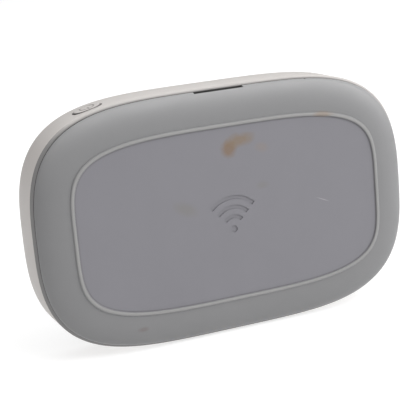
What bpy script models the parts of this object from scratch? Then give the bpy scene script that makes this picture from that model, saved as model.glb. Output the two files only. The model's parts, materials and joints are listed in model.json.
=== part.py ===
"""Pocket mobile hotspot with a lift-off back cover and a removable battery.

It stands on its long lower edge. X runs along the long side, Y through the depth from the
display (-Y) to the back cover (+Y), and Z up the short side. All sizes are millimetres;
every mesh is scaled to metres once, when its object is made.
"""

import math

import bmesh
import bpy
from mathutils import Matrix, Vector

MM = 0.001

# Driving dimensions of the case.
WIDTH = 107.0
HEIGHT = 67.0
BAND_DEPTH = 12.3
COVER_RISE = 3.7
RIDGE_PROUD = 0.4
FRONT_PROUD = 1.0
CORNER_POWER_X = 4.07
CORNER_POWER_Z = 2.99
GAP = 0.3

# How far a cutting tool runs past what it cuts.
CUT_OVER = 1.0

# Side band.
BAND_WALL = 2.0
BAND_EDGE_ROUND = 0.9
BAND_CHAMFER = 0.75

# Back cover with its raised ring, thumb notch and snap tabs.
COVER_WALL = 1.0
FLANK_RUN = 9.2
RIDGE_INSET = 9.9
RIDGE_POWER_X = 3.66
RIDGE_POWER_Z = 4.55
RIDGE_WIDTH = 1.2
RIDGE_ROOT = 0.35
BEAD_STEPS = 4
NOTCH_LENGTH = 14.0
NOTCH_DEPTH = 0.8
TAB_LENGTH = 6.0
TAB_THICK = 1.0
TAB_FROM_END = 33.5

# Front cover, lens and display.
LENS_INSET = 5.0
LENS_THICK = 0.75
PLATE_THICK = 0.95
SKIRT_DEPTH = 1.3
SKIRT_WALL = 1.2
FRONT_OVERHANG = 1.2
FRONT_EDGE_DROP = 0.3
FRONT_EDGE_START = 0.2
FRONT_EDGE_RUN = 0.9
LENS_EDGE = 0.15
DISPLAY_MARGIN_X = 23.35
DISPLAY_MARGIN_Z = 12.15
DISPLAY_THICK = 2.3
DISPLAY_BORDER = 2.2
DISPLAY_EDGE = 0.3
LIGHT_RADIUS = 0.9
LIGHT_MARGIN = 4.5
PIPE_FLANGE = 0.5
LED_HEIGHT = 0.6
LED_LENGTH = 1.6
LED_WIDTH = 1.2

# Main board and what it carries.
BOARD_MARGIN_X = 14.5
BOARD_MARGIN_Z = 7.5
BOARD_THICK = 0.8
BOARD_CORNER = 3.0
FRONT_PARTS_ROOM = 1.1
CAN_HEIGHT = 1.1
CAN_EDGE = 0.25
CAN_MARGIN = 3.0
CAN_FOOT_MARGIN = 4.0
MODEM_RIGHT = -6.0
MODEM_FOOT = 1.0
POWER_RIGHT = -9.0
POWER_TOP = -2.0
WIFI_LEFT = -3.0
WIFI_TOP = 2.0
WIFI_MARGIN = 11.0
FLEX_THICK = 0.2
DISPLAY_FLEX_WIDTH = 16.0
SPREADER_THICK = 0.3
SPREADER_DROP = 7.0
SPREADER_TO_FLEX = 1.0

# Rear frame, battery bay and SIM bay.
FLOOR_THICK = 0.9
DECK_DROP = 1.2
CONTACT_BAY = 15.5
SIM_BAY = 25.5
BATTERY_MARGIN_Z = 11.5
BATTERY_HEADROOM = 1.0
BATTERY_EDGE = 0.8
CARD_LENGTH = 15.0
CARD_WIDTH = 12.0
CARD_THICK = 0.76
CARD_CORNER = 1.0
CARD_LEAD = 2.0
SOCKET_SHEET = 0.3
SOCKET_LEAD = 1.0
SOCKET_END_WALL = 1.2
SOCKET_ROOM = 0.7
CONTACT_LENGTH = 5.0
CONTACT_WIDTH = 12.0
CONTACT_HEIGHT = 2.4
BLADE_WIDTH = 1.2
BLADE_COUNT = 4
BLADE_REACH = 0.5
BLADE_SEAT = 2.0
BLADE_EDGE = 0.25

# Screws.
SCREW_HEAD_RADIUS = 1.7
SCREW_HEAD_HEIGHT = 1.0
SCREW_RADIUS = 0.8
SCREW_LENGTH = 6.0
SCREW_SINK = 0.4
HEAD_EDGE_DROP = 0.3
HEAD_EDGE_RUN = 0.4
DRIVE_RADIUS = 0.45
DRIVE_DEPTH = 0.5
BOSS_RADIUS = 2.1
CORNER_SCREW_X = 10.0
CORNER_SCREW_Z = 14.5
TOP_SCREW_X = 14.5
TOP_SCREW_Z = 5.2

# Power key on the top edge, and the reset key on the deck.
KEY_FROM_END = 19.5
KEY_LENGTH = 7.6
KEY_WIDTH = 5.6
KEY_POWER = 2.3
KEY_TRAVEL = 0.4
KEY_PROUD = 0.05
KEY_SIDE_TOP = 0.3
KEY_CROWN_DROP = 0.1
KEY_CROWN_RUN = 0.35
KEY_TOP_RUN = 1.2
RIM_CURVE_ROOM = 0.45
KEY_FLANGE = 0.5
KEY_FLANGE_THICK = 0.6
KEY_ROOM = 0.4
SWITCH_SIDE = 4.4
SWITCH_HEIGHT = 1.5
SWITCH_SLACK = 0.15
PLUNGER_RADIUS = 1.0
PLUNGER_PROUD = 0.4
PLUNGER_ROOT = 0.3
RESET_FROM_BATTERY = 3.8
RESET_FROM_TOP = 3.0
RESET_RADIUS = 1.0
RESET_SINK = 0.4
RESET_EDGE = 0.2
RESET_FLANGE = 0.6
RESET_FLANGE_THICK = 0.3
RESET_TRAVEL = 0.25
RESET_SWITCH_LENGTH = 3.0
RESET_SWITCH_WIDTH = 2.6

# Ports on the lower edge.
USB_WIDTH = 7.5
USB_DEPTH = 2.6
USB_LENGTH = 5.6
USB_SHEET = 0.35
USB_BACK_WALL = 0.5
USB_SINK = 1.2
TONGUE_SINK = 0.6
SCOOP_WIDTH = 13.0
SCOOP_DEPTH = 6.6
SCOOP_CUT = 0.5
ANTENNA_X = 24.0
BARREL_RADIUS = 1.8
BARREL_BORE = 1.2
BARREL_PIN = 0.4
BARREL_LENGTH = 4.0
BARREL_FLOOR = 0.8
BARREL_PIN_SINK = 0.6
PORT_RADIUS = 2.1
CAP_LENGTH = 8.0
CAP_WIDTH = 5.0
CAP_THICK = 1.1

# Antennas at the two ends.
CARRIER_OUTER = 4.0
CARRIER_THICK = 6.0
CARRIER_MARGIN_Z = 19.5
CARRIER_DEPTH = 3.8
CARRIER_ROOM = 0.4
ELEMENT_THICK = 0.2
ELEMENT_MARGIN = 2.0
CLIP_LENGTH = 3.0

# How finely round things are divided.
OUTLINE_STEPS = 64
FLANK_STEPS = 5
EDGE_STEPS = 3
ROUND_STEPS = 16

# Depth stations, from the display to the crest of the cover.
DEPTH = FRONT_PROUD + BAND_DEPTH + COVER_RISE + RIDGE_PROUD
FRONT = -DEPTH / 2
BAND_FRONT = FRONT + FRONT_PROUD
SEAM = BAND_FRONT + BAND_DEPTH
BACK = SEAM + COVER_RISE
MID_BAND = (BAND_FRONT + SEAM) / 2
BAND_BACK = SEAM - GAP / 2
COVER_RIM = SEAM + GAP / 2
LENS_BACK = FRONT + LENS_THICK
PLATE_SEAT = LENS_BACK + GAP
PLATE_BACK = PLATE_SEAT + PLATE_THICK
DISPLAY_FRONT = PLATE_BACK + GAP
DISPLAY_BACK = DISPLAY_FRONT + DISPLAY_THICK
BOARD_FRONT = DISPLAY_BACK + FRONT_PARTS_ROOM
BOARD_BACK = BOARD_FRONT + BOARD_THICK
CAN_BACK = BOARD_BACK + GAP + CAN_HEIGHT
FRAME_FRONT = CAN_BACK + GAP
BAY_FLOOR = FRAME_FRONT + FLOOR_THICK
DECK = SEAM - DECK_DROP
CEILING = BACK - COVER_WALL
BATTERY_FRONT = BAY_FLOOR + GAP
BATTERY_BACK = CEILING - BATTERY_HEADROOM

# Places across the case, measured from its centre.
HALF_X = WIDTH / 2
HALF_Z = HEIGHT / 2
FRAME_INSET = BAND_WALL + GAP
BOARD_X = HALF_X - BOARD_MARGIN_X
BOARD_Z = HALF_Z - BOARD_MARGIN_Z
BATTERY_LEFT = CONTACT_BAY - HALF_X
BATTERY_RIGHT = HALF_X - SIM_BAY
BATTERY_Z = HALF_Z - BATTERY_MARGIN_Z
DISPLAY_X = HALF_X - DISPLAY_MARGIN_X
DISPLAY_Z = HALF_Z - DISPLAY_MARGIN_Z
KEY_X = HALF_X - KEY_FROM_END
LIGHT_X = DISPLAY_X + LIGHT_MARGIN
SOCKET_START = BATTERY_RIGHT + CARD_LEAD + SOCKET_LEAD
SOCKET_END = BATTERY_RIGHT + CARD_LEAD + CARD_LENGTH + GAP + SOCKET_END_WALL
RESET_X = BATTERY_RIGHT + RESET_FROM_BATTERY
RESET_Z = BATTERY_Z - RESET_FROM_TOP
CASE_OUTLINE = (HALF_X, HALF_Z, CORNER_POWER_X, CORNER_POWER_Z)
RIDGE_OUTLINE = (HALF_X - RIDGE_INSET, HALF_Z - RIDGE_INSET, RIDGE_POWER_X, RIDGE_POWER_Z)

# Finishes: base colour, roughness, metallic.
BAND_PLASTIC = ((0.56, 0.55, 0.54), 0.5, 0.0)
COVER_PLASTIC = ((0.30, 0.30, 0.31), 0.55, 0.0)
BLACK_PLASTIC = ((0.015, 0.015, 0.017), 0.4, 0.0)
FRAME_PLASTIC = ((0.035, 0.035, 0.04), 0.6, 0.0)
LENS_GLASS = ((0.01, 0.01, 0.012), 0.06, 0.0)
DISPLAY_PANEL = ((0.05, 0.06, 0.08), 0.2, 0.0)
BOARD_RESIN = ((0.02, 0.12, 0.06), 0.5, 0.0)
SHIELD_STEEL = ((0.55, 0.55, 0.53), 0.35, 1.0)
FLEX_FILM = ((0.35, 0.16, 0.03), 0.45, 0.0)
GRAPHITE = ((0.04, 0.04, 0.045), 0.5, 0.3)
BATTERY_WRAP = ((0.06, 0.06, 0.065), 0.5, 0.0)
GOLD_CONTACT = ((0.75, 0.52, 0.2), 0.3, 1.0)
CARD_PLASTIC = ((0.8, 0.8, 0.78), 0.4, 0.0)
CAP_RUBBER = ((0.45, 0.44, 0.43), 0.75, 0.0)
SCREW_STEEL = ((0.08, 0.08, 0.085), 0.35, 1.0)
CLEAR_RESIN = ((0.85, 0.87, 0.9), 0.15, 0.0)


def clear_scene():
    for old in list(bpy.data.objects):
        bpy.data.objects.remove(old, do_unlink=True)


def make_finish(name, finish):
    colour, roughness, metallic = finish
    material = bpy.data.materials.new(name + "_finish")
    material.use_nodes = True
    shader = material.node_tree.nodes["Principled BSDF"]
    shader.inputs["Base Color"].default_value = (*colour, 1.0)
    shader.inputs["Roughness"].default_value = roughness
    shader.inputs["Metallic"].default_value = metallic
    return material


def make_part(name, bm, finish, place, case):
    """Turn a mesh drawn in millimetres into one named object under the case's empty."""
    bmesh.ops.recalc_face_normals(bm, faces=bm.faces)
    bmesh.ops.transform(bm, matrix=Matrix.Scale(MM, 4), verts=bm.verts)
    mesh = bpy.data.meshes.new(name)
    bm.to_mesh(mesh)
    bm.free()
    mesh.shade_smooth()
    mesh.set_sharp_from_angle(angle=math.radians(35))
    part = bpy.data.objects.new(name, mesh)
    bpy.context.collection.objects.link(part)
    part.data.materials.append(make_finish(name, finish))
    part.parent = case
    turn = place.to_quaternion()
    part.rotation_mode = "QUATERNION"
    part.rotation_quaternion = turn
    part.location = place.translation * MM
    return part


def make_guide(part):
    part.hide_render = True
    part.display_type = "WIRE"
    return part


def combine(part, tool, operation):
    """Cut or join with a hidden tool object."""
    make_guide(tool)
    step = part.modifiers.new(f"{operation.lower()}_{tool.name}", "BOOLEAN")
    step.operation = operation
    step.object = tool
    step.solver = "EXACT"


def at(x, y, z):
    return Matrix.Translation((x, y, z))


def soft_rectangle(outline, inset):
    """Points round a soft rectangle; they gather where it bends most."""
    half_x, half_z, power_x, power_z = outline
    points = []
    for step in range(OUTLINE_STEPS):
        turn = 2 * math.pi * step / OUTLINE_STEPS
        across, up = math.cos(turn), math.sin(turn)
        x = math.copysign((half_x - inset) * abs(across) ** (2 / power_x), across)
        z = math.copysign((half_z - inset) * abs(up) ** (2 / power_z), up)
        points.append((x, z))
    return points


def loft(outline, rings, hoop=False):
    """Extrude one outline through rings of (depth, inset), as a capped solid or a hoop."""
    half_x, half_z = outline[:2]
    depth, inset = rings[0]
    bm = bmesh.new()
    verts = [bm.verts.new((x, depth, z)) for x, z in soft_rectangle(outline, inset)]
    edges = [bm.edges.new(pair) for pair in zip(verts, verts[1:] + verts[:1])]
    first = edges
    if not hoop:
        bmesh.ops.contextual_create(bm, geom=edges)
    for next_depth, next_inset in rings[1:]:
        made = bmesh.ops.extrude_edge_only(bm, edges=edges)["geom"]
        verts = [item for item in made if isinstance(item, bmesh.types.BMVert)]
        edges = [item for item in made if isinstance(item, bmesh.types.BMEdge) and item.is_boundary]
        shrink_x = (half_x - next_inset) / (half_x - inset)
        shrink_z = (half_z - next_inset) / (half_z - inset)
        bmesh.ops.scale(bm, verts=verts, vec=(shrink_x, 1.0, shrink_z))
        bmesh.ops.translate(bm, verts=verts, vec=(0.0, next_depth - depth, 0.0))
        depth, inset = next_depth, next_inset
    if hoop:
        bmesh.ops.bridge_loops(bm, edges=first + edges)
    else:
        bmesh.ops.contextual_create(bm, geom=edges)
    # The quads between two rings are slightly twisted; flat triangles cut cleanly.
    sides = [face for face in bm.faces if len(face.verts) == 4]
    bmesh.ops.triangulate(bm, faces=sides)
    return bm


def block(low, high):
    """A box between two corners, drawn about its own centre, and that centre."""
    size = Vector(high) - Vector(low)
    bm = bmesh.new()
    bmesh.ops.create_cube(bm, size=1.0)
    bmesh.ops.scale(bm, verts=bm.verts, vec=size)
    return bm, at(*((Vector(low) + Vector(high)) / 2))


def make_block(name, low, high, finish, case, frame=Matrix(), rounding=0.0):
    bm, centre = block(low, high)
    part = make_part(name, bm, finish, frame @ centre, case)
    if rounding:
        bevel = part.modifiers.new("rounding", "BEVEL")
        bevel.width = rounding * MM
        bevel.segments = 2
        bevel.limit_method = "ANGLE"
    return part


def turned(profile):
    """Spin a profile of (radius, height) about Z; it starts and ends on the axis."""
    bm = bmesh.new()
    verts = [bm.verts.new((radius, 0.0, height)) for radius, height in profile]
    edges = [bm.edges.new(pair) for pair in zip(verts, verts[1:])]
    bmesh.ops.spin(
        bm,
        geom=verts + edges,
        cent=(0.0, 0.0, 0.0),
        axis=(0.0, 0.0, 1.0),
        angle=2 * math.pi,
        steps=ROUND_STEPS,
    )
    bmesh.ops.remove_doubles(bm, verts=bm.verts, dist=1e-4)
    return bm


def peg(radius, low, high):
    return turned([(0.0, low), (radius, low), (radius, high), (0.0, high)])


# Turned pieces are drawn along +Z, and this lays them along +Y.
ALONG_DEPTH = Matrix.Rotation(-math.pi / 2, 4, "X")
# Lofts are drawn along +Y, and this stands them along +Z.
UPRIGHT = Matrix.Rotation(math.pi / 2, 4, "X")


def rim_frame(x, side):
    """A frame on the case's edge at x, with Z straight out; side is 1 on top, -1 below."""
    across = abs(x) / HALF_X
    reach = 1 - across**CORNER_POWER_X
    z = HALF_Z * reach ** (1 / CORNER_POWER_Z)
    fall = HALF_Z * CORNER_POWER_X / (CORNER_POWER_Z * HALF_X)
    fall *= across ** (CORNER_POWER_X - 1) * reach ** (1 / CORNER_POWER_Z - 1)
    out = Vector((math.copysign(fall, x), 0.0, side)).normalized()
    through = Vector((0.0, 1.0, 0.0))
    along = through.cross(out)
    turn = Matrix((along, through, out)).transposed().to_4x4()
    return at(x, MID_BAND, side * z) @ turn


def quarter(steps):
    """Sine and cosine pairs over a quarter turn."""
    turns = [math.pi / 2 * step / steps for step in range(steps + 1)]
    return [(math.sin(turn), math.cos(turn)) for turn in turns]


KEY_FRAME = rim_frame(KEY_X, 1)
USB_FRAME = rim_frame(0.0, -1)
ANTENNA_SIDES = (("left", -1), ("right", 1))
SCREW_PLACES = [
    (side * (HALF_X - CORNER_SCREW_X), level * (HALF_Z - CORNER_SCREW_Z))
    for side in (-1, 1)
    for level in (-1, 1)
] + [(side * TOP_SCREW_X, HALF_Z - TOP_SCREW_Z) for side in (-1, 1)]


def key_outline(grow):
    return (KEY_LENGTH / 2 + grow, KEY_WIDTH / 2 + grow, KEY_POWER, KEY_POWER)


def upright_loft(outline, rings):
    bm = loft(outline, rings)
    bmesh.ops.transform(bm, matrix=UPRIGHT, verts=bm.verts)
    return bm


def key_pocket(name, case):
    """Room behind the power key for its flange, its switch and the flex."""
    reach_x = KEY_LENGTH / 2 + KEY_FLANGE + KEY_ROOM
    reach_y = KEY_WIDTH / 2 + KEY_FLANGE + KEY_ROOM
    low = (-reach_x, -reach_y, flex_depth() - FLEX_THICK - GAP)
    high = (reach_x, reach_y, 0.0)
    return make_block(name, low, high, FRAME_PLASTIC, case, KEY_FRAME)


def flange_depth():
    return -(BAND_WALL + RIM_CURVE_ROOM + GAP)


def switch_depth():
    return flange_depth() - KEY_FLANGE_THICK - KEY_TRAVEL - SWITCH_SLACK


def flex_depth():
    return switch_depth() - SWITCH_HEIGHT - GAP


def usb_block(name, grow, low, high, finish, case):
    reach = (USB_WIDTH / 2 + grow, USB_DEPTH / 2 + grow)
    return make_block(name, (-reach[0], -reach[1], low), (*reach, high), finish, case, USB_FRAME)


def cap_frame(side):
    return rim_frame(side * ANTENNA_X, -1)


def make_band(case):
    front_round = [
        (BAND_FRONT + BAND_EDGE_ROUND * (1 - up), BAND_EDGE_ROUND * (1 - along))
        for along, up in quarter(EDGE_STEPS)
    ]
    rings = front_round + [
        (BAND_BACK - BAND_CHAMFER, 0.0),
        (BAND_BACK, BAND_CHAMFER),
        (BAND_BACK, BAND_WALL),
        (BAND_FRONT, BAND_WALL),
    ]
    band = make_part("side_band", loft(CASE_OUTLINE, rings, hoop=True), BAND_PLASTIC, Matrix(), case)
    key_hole = upright_loft(key_outline(GAP), [(-2 * BAND_WALL, 0.0), (BAND_WALL, 0.0)])
    combine(band, make_part("key_hole", key_hole, BAND_PLASTIC, KEY_FRAME, case), "DIFFERENCE")
    combine(band, usb_block("usb_hole", GAP, -2 * BAND_WALL, BAND_WALL, BAND_PLASTIC, case), "DIFFERENCE")
    scoop = make_block(
        "usb_scoop",
        (-SCOOP_WIDTH / 2, -SCOOP_DEPTH / 2, -SCOOP_CUT),
        (SCOOP_WIDTH / 2, SCOOP_DEPTH / 2, BAND_WALL),
        BAND_PLASTIC,
        case,
        USB_FRAME,
    )
    combine(band, scoop, "DIFFERENCE")
    for name, side in ANTENNA_SIDES:
        frame = cap_frame(side)
        reach = (CAP_LENGTH / 2 + GAP, CAP_WIDTH / 2 + GAP)
        low = (-reach[0], -reach[1], -(CAP_THICK + GAP))
        pocket = make_block("cap_pocket_" + name, low, (*reach, BAND_WALL), BAND_PLASTIC, case, frame)
        combine(band, pocket, "DIFFERENCE")
        hole = peg(PORT_RADIUS, -2 * BAND_WALL, -CAP_THICK)
        combine(band, make_part("port_hole_" + name, hole, BAND_PLASTIC, frame, case), "DIFFERENCE")
    return band


def make_front(case):
    overhang_back = BAND_FRONT - GAP
    skirt_back = PLATE_BACK + SKIRT_DEPTH
    rings = [
        (PLATE_BACK, FRAME_INSET + SKIRT_WALL),
        (skirt_back, FRAME_INSET + SKIRT_WALL),
        (skirt_back, FRAME_INSET),
        (overhang_back, FRAME_INSET),
        (overhang_back, FRONT_OVERHANG),
        (FRONT + FRONT_EDGE_DROP, FRONT_OVERHANG + FRONT_EDGE_START),
        (FRONT, FRONT_OVERHANG + FRONT_EDGE_RUN),
        (FRONT, LENS_INSET - GAP),
        (PLATE_SEAT, LENS_INSET - GAP),
    ]
    cover = make_part("front_cover", loft(CASE_OUTLINE, rings), BLACK_PLASTIC, Matrix(), case)
    window = make_block(
        "window",
        (DISPLAY_BORDER - DISPLAY_X, PLATE_SEAT - GAP, DISPLAY_BORDER - DISPLAY_Z),
        (DISPLAY_X - DISPLAY_BORDER, PLATE_BACK + GAP, DISPLAY_Z - DISPLAY_BORDER),
        BLACK_PLASTIC,
        case,
    )
    combine(cover, window, "DIFFERENCE")
    boss_back = FRAME_FRONT - GAP
    pilot_front = DECK - SCREW_SINK - SCREW_HEAD_HEIGHT - SCREW_LENGTH - GAP
    bore = SCREW_RADIUS + GAP
    for number, (x, z) in enumerate(SCREW_PLACES, 1):
        boss = turned(
            [
                (0.0, PLATE_BACK - PLATE_THICK / 2),
                (BOSS_RADIUS, PLATE_BACK - PLATE_THICK / 2),
                (BOSS_RADIUS, boss_back),
                (bore, boss_back),
                (bore, pilot_front),
                (0.0, pilot_front),
            ]
        )
        place = at(x, 0.0, z) @ ALONG_DEPTH
        combine(cover, make_part(f"boss_{number}", boss, BLACK_PLASTIC, place, case), "UNION")
    combine(cover, key_pocket("key_room_front", case), "DIFFERENCE")
    pipe_hole = peg(LIGHT_RADIUS + GAP, PLATE_SEAT - GAP, PLATE_BACK + GAP)
    place = at(LIGHT_X, 0.0, 0.0) @ ALONG_DEPTH
    combine(cover, make_part("light_hole", pipe_hole, BLACK_PLASTIC, place, case), "DIFFERENCE")
    rings = [(LENS_BACK, LENS_INSET), (FRONT + LENS_EDGE, LENS_INSET), (FRONT, LENS_INSET + LENS_EDGE)]
    make_part("touch_lens", loft(CASE_OUTLINE, rings), LENS_GLASS, Matrix(), case)


def make_display(case):
    make_block(
        "display_module",
        (-DISPLAY_X, DISPLAY_FRONT, -DISPLAY_Z),
        (DISPLAY_X, DISPLAY_BACK, DISPLAY_Z),
        DISPLAY_PANEL,
        case,
        rounding=DISPLAY_EDGE,
    )
    flex_front = DISPLAY_BACK + GAP
    make_block(
        "display_flex",
        (-DISPLAY_FLEX_WIDTH / 2, flex_front, -DISPLAY_Z),
        (DISPLAY_FLEX_WIDTH / 2, flex_front + FLEX_THICK, -(SPREADER_DROP + SPREADER_TO_FLEX)),
        FLEX_FILM,
        case,
    )
    make_block(
        "heat_spreader",
        (-BOARD_X / 2, flex_front, -SPREADER_DROP),
        (BOARD_X / 2, flex_front + SPREADER_THICK, DISPLAY_Z),
        GRAPHITE,
        case,
    )
    pipe = turned(
        [
            (0.0, PLATE_SEAT),
            (LIGHT_RADIUS, PLATE_SEAT),
            (LIGHT_RADIUS, PLATE_BACK + GAP),
            (LIGHT_RADIUS + PIPE_FLANGE, PLATE_BACK + GAP),
            (LIGHT_RADIUS + PIPE_FLANGE, BOARD_FRONT - LED_HEIGHT - 2 * GAP),
            (0.0, BOARD_FRONT - LED_HEIGHT - 2 * GAP),
        ]
    )
    make_part("light_pipe", pipe, CLEAR_RESIN, at(LIGHT_X, 0.0, 0.0) @ ALONG_DEPTH, case)
    make_block(
        "status_led",
        (LIGHT_X - LED_LENGTH / 2, BOARD_FRONT - LED_HEIGHT - GAP, -LED_WIDTH / 2),
        (LIGHT_X + LED_LENGTH / 2, BOARD_FRONT - GAP, LED_WIDTH / 2),
        CLEAR_RESIN,
        case,
    )


def make_board(case):
    bm, centre = block((-BOARD_X, BOARD_FRONT, -BOARD_Z), (BOARD_X, BOARD_BACK, BOARD_Z))
    corners = [edge for edge in bm.edges if abs(edge.verts[0].co.y - edge.verts[1].co.y) > BOARD_THICK / 2]
    bmesh.ops.bevel(bm, geom=corners, offset=BOARD_CORNER, segments=3, affect="EDGES", profile=0.5)
    board = make_part("main_board", bm, BOARD_RESIN, centre, case)
    combine(board, key_pocket("key_room_board", case), "DIFFERENCE")
    can_front = BOARD_BACK + GAP
    left = CAN_MARGIN - BOARD_X
    foot = CAN_FOOT_MARGIN - BOARD_Z
    cans = (
        ("modem_can", (left, MODEM_FOOT), (MODEM_RIGHT, BOARD_Z - CAN_MARGIN)),
        ("power_can", (left, foot), (POWER_RIGHT, POWER_TOP)),
        ("wifi_can", (WIFI_LEFT, foot), (BOARD_X - WIFI_MARGIN, WIFI_TOP)),
    )
    for name, low, high in cans:
        make_block(
            name,
            (low[0], can_front, low[1]),
            (high[0], CAN_BACK, high[1]),
            SHIELD_STEEL,
            case,
            rounding=CAN_EDGE,
        )


def make_rear_frame(case):
    rings = [(FRAME_FRONT, FRAME_INSET), (DECK, FRAME_INSET)]
    frame = make_part("rear_frame", loft(CASE_OUTLINE, rings), FRAME_PLASTIC, Matrix(), case)
    over = DECK + CUT_OVER
    under = FRAME_FRONT - CUT_OVER
    well = make_block(
        "battery_well",
        (BATTERY_LEFT - GAP, BAY_FLOOR, -(BATTERY_Z + GAP)),
        (BATTERY_RIGHT + GAP, over, BATTERY_Z + GAP),
        FRAME_PLASTIC,
        case,
    )
    sim_reach = CARD_WIDTH / 2 + GAP + SOCKET_SHEET + SOCKET_ROOM
    sim_room = make_block(
        "sim_room",
        (BATTERY_RIGHT - GAP, BAY_FLOOR, -sim_reach),
        (SOCKET_END + GAP, over, sim_reach),
        FRAME_PLASTIC,
        case,
    )
    contact_room = make_block(
        "contact_room",
        (BATTERY_LEFT - 2 * GAP - CONTACT_LENGTH, BAY_FLOOR, -(CONTACT_WIDTH / 2 + GAP)),
        (BATTERY_LEFT + GAP, over, CONTACT_WIDTH / 2 + GAP),
        FRAME_PLASTIC,
        case,
    )
    usb_room = usb_block("usb_room", GAP, -(USB_SINK + USB_LENGTH + GAP), 0.0, FRAME_PLASTIC, case)
    for room in (well, sim_room, contact_room, usb_room, key_pocket("key_room", case)):
        combine(frame, room, "DIFFERENCE")
    for name, side in ANTENNA_SIDES:
        reach = BARREL_RADIUS + GAP
        low = (-reach, -reach, -(BAND_WALL + BARREL_LENGTH + 2 * GAP))
        high = (reach, reach, 0.0)
        room = make_block("barrel_room_" + name, low, high, FRAME_PLASTIC, case, cap_frame(side))
        combine(frame, room, "DIFFERENCE")
    seat = DECK - SCREW_SINK - SCREW_HEAD_HEIGHT - GAP
    for number, (x, z) in enumerate(SCREW_PLACES, 1):
        hole = turned(
            [
                (0.0, under),
                (SCREW_RADIUS + GAP, under),
                (SCREW_RADIUS + GAP, seat),
                (SCREW_HEAD_RADIUS + GAP, seat),
                (SCREW_HEAD_RADIUS + GAP, over),
                (0.0, over),
            ]
        )
        place = at(x, 0.0, z) @ ALONG_DEPTH
        combine(frame, make_part(f"screw_hole_{number}", hole, FRAME_PLASTIC, place, case), "DIFFERENCE")
    reset_hole = peg(RESET_RADIUS + GAP, under, over)
    place = at(RESET_X, 0.0, RESET_Z) @ ALONG_DEPTH
    combine(frame, make_part("reset_hole", reset_hole, FRAME_PLASTIC, place, case), "DIFFERENCE")


def make_screws(case):
    head_back = DECK - SCREW_SINK
    head_front = head_back - SCREW_HEAD_HEIGHT
    for number, (x, z) in enumerate(SCREW_PLACES, 1):
        screw = turned(
            [
                (0.0, head_front - SCREW_LENGTH),
                (SCREW_RADIUS, head_front - SCREW_LENGTH),
                (SCREW_RADIUS, head_front),
                (SCREW_HEAD_RADIUS, head_front),
                (SCREW_HEAD_RADIUS, head_back - HEAD_EDGE_DROP),
                (SCREW_HEAD_RADIUS - HEAD_EDGE_RUN, head_back),
                (DRIVE_RADIUS, head_back),
                (0.0, head_back - DRIVE_DEPTH),
            ]
        )
        make_part(f"screw_{number}", screw, SCREW_STEEL, at(x, 0.0, z) @ ALONG_DEPTH, case)


def make_battery(case):
    make_block(
        "battery_pack",
        (BATTERY_LEFT, BATTERY_FRONT, -BATTERY_Z),
        (BATTERY_RIGHT, BATTERY_BACK, BATTERY_Z),
        BATTERY_WRAP,
        case,
        rounding=BATTERY_EDGE,
    )
    back_face = BATTERY_LEFT - 2 * GAP - BLADE_REACH
    block_low = (BATTERY_LEFT - GAP - CONTACT_LENGTH, BATTERY_FRONT, -CONTACT_WIDTH / 2)
    block_high = (back_face, BATTERY_FRONT + CONTACT_HEIGHT, CONTACT_WIDTH / 2)
    holder = make_block("battery_contact_block", block_low, block_high, BLACK_PLASTIC, case)
    middle = BATTERY_FRONT + CONTACT_HEIGHT / 2
    pitch = CONTACT_WIDTH / BLADE_COUNT
    for number in range(1, BLADE_COUNT + 1):
        z = pitch * (number - (BLADE_COUNT + 1) / 2)
        slot = make_block(
            f"blade_slot_{number}",
            (back_face - BLADE_SEAT - GAP, middle - BLADE_WIDTH / 2 - GAP, z - BLADE_WIDTH / 2 - GAP),
            (back_face + CUT_OVER, middle + BLADE_WIDTH / 2 + GAP, z + BLADE_WIDTH / 2 + GAP),
            BLACK_PLASTIC,
            case,
        )
        combine(holder, slot, "DIFFERENCE")
        make_block(
            f"contact_blade_{number}",
            (back_face - BLADE_SEAT, middle - BLADE_WIDTH / 2, z - BLADE_WIDTH / 2),
            (BATTERY_LEFT - GAP, middle + BLADE_WIDTH / 2, z + BLADE_WIDTH / 2),
            GOLD_CONTACT,
            case,
            rounding=BLADE_EDGE,
        )


def make_sim(case):
    inner = CARD_WIDTH / 2 + GAP
    outer = inner + SOCKET_SHEET
    base = BATTERY_FRONT + SOCKET_SHEET
    socket = make_block(
        "sim_socket",
        (SOCKET_START, BATTERY_FRONT, -outer),
        (SOCKET_END, base + CARD_THICK + 2 * GAP + SOCKET_SHEET, outer),
        SHIELD_STEEL,
        case,
    )
    channel = make_block(
        "sim_channel",
        (SOCKET_START - CUT_OVER, base, -inner),
        (SOCKET_END - SOCKET_END_WALL + GAP, base + CARD_THICK + 2 * GAP, inner),
        SHIELD_STEEL,
        case,
    )
    combine(socket, channel, "DIFFERENCE")
    start = BATTERY_RIGHT + CARD_LEAD
    bm, centre = block(
        (start, base + GAP, -CARD_WIDTH / 2),
        (start + CARD_LENGTH, base + GAP + CARD_THICK, CARD_WIDTH / 2),
    )
    corners = [edge for edge in bm.edges if abs(edge.verts[0].co.y - edge.verts[1].co.y) > CARD_THICK / 2]
    bmesh.ops.bevel(bm, geom=corners, offset=CARD_CORNER, segments=2, affect="EDGES", profile=0.5)
    make_part("sim_card", bm, CARD_PLASTIC, centre, case)


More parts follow.
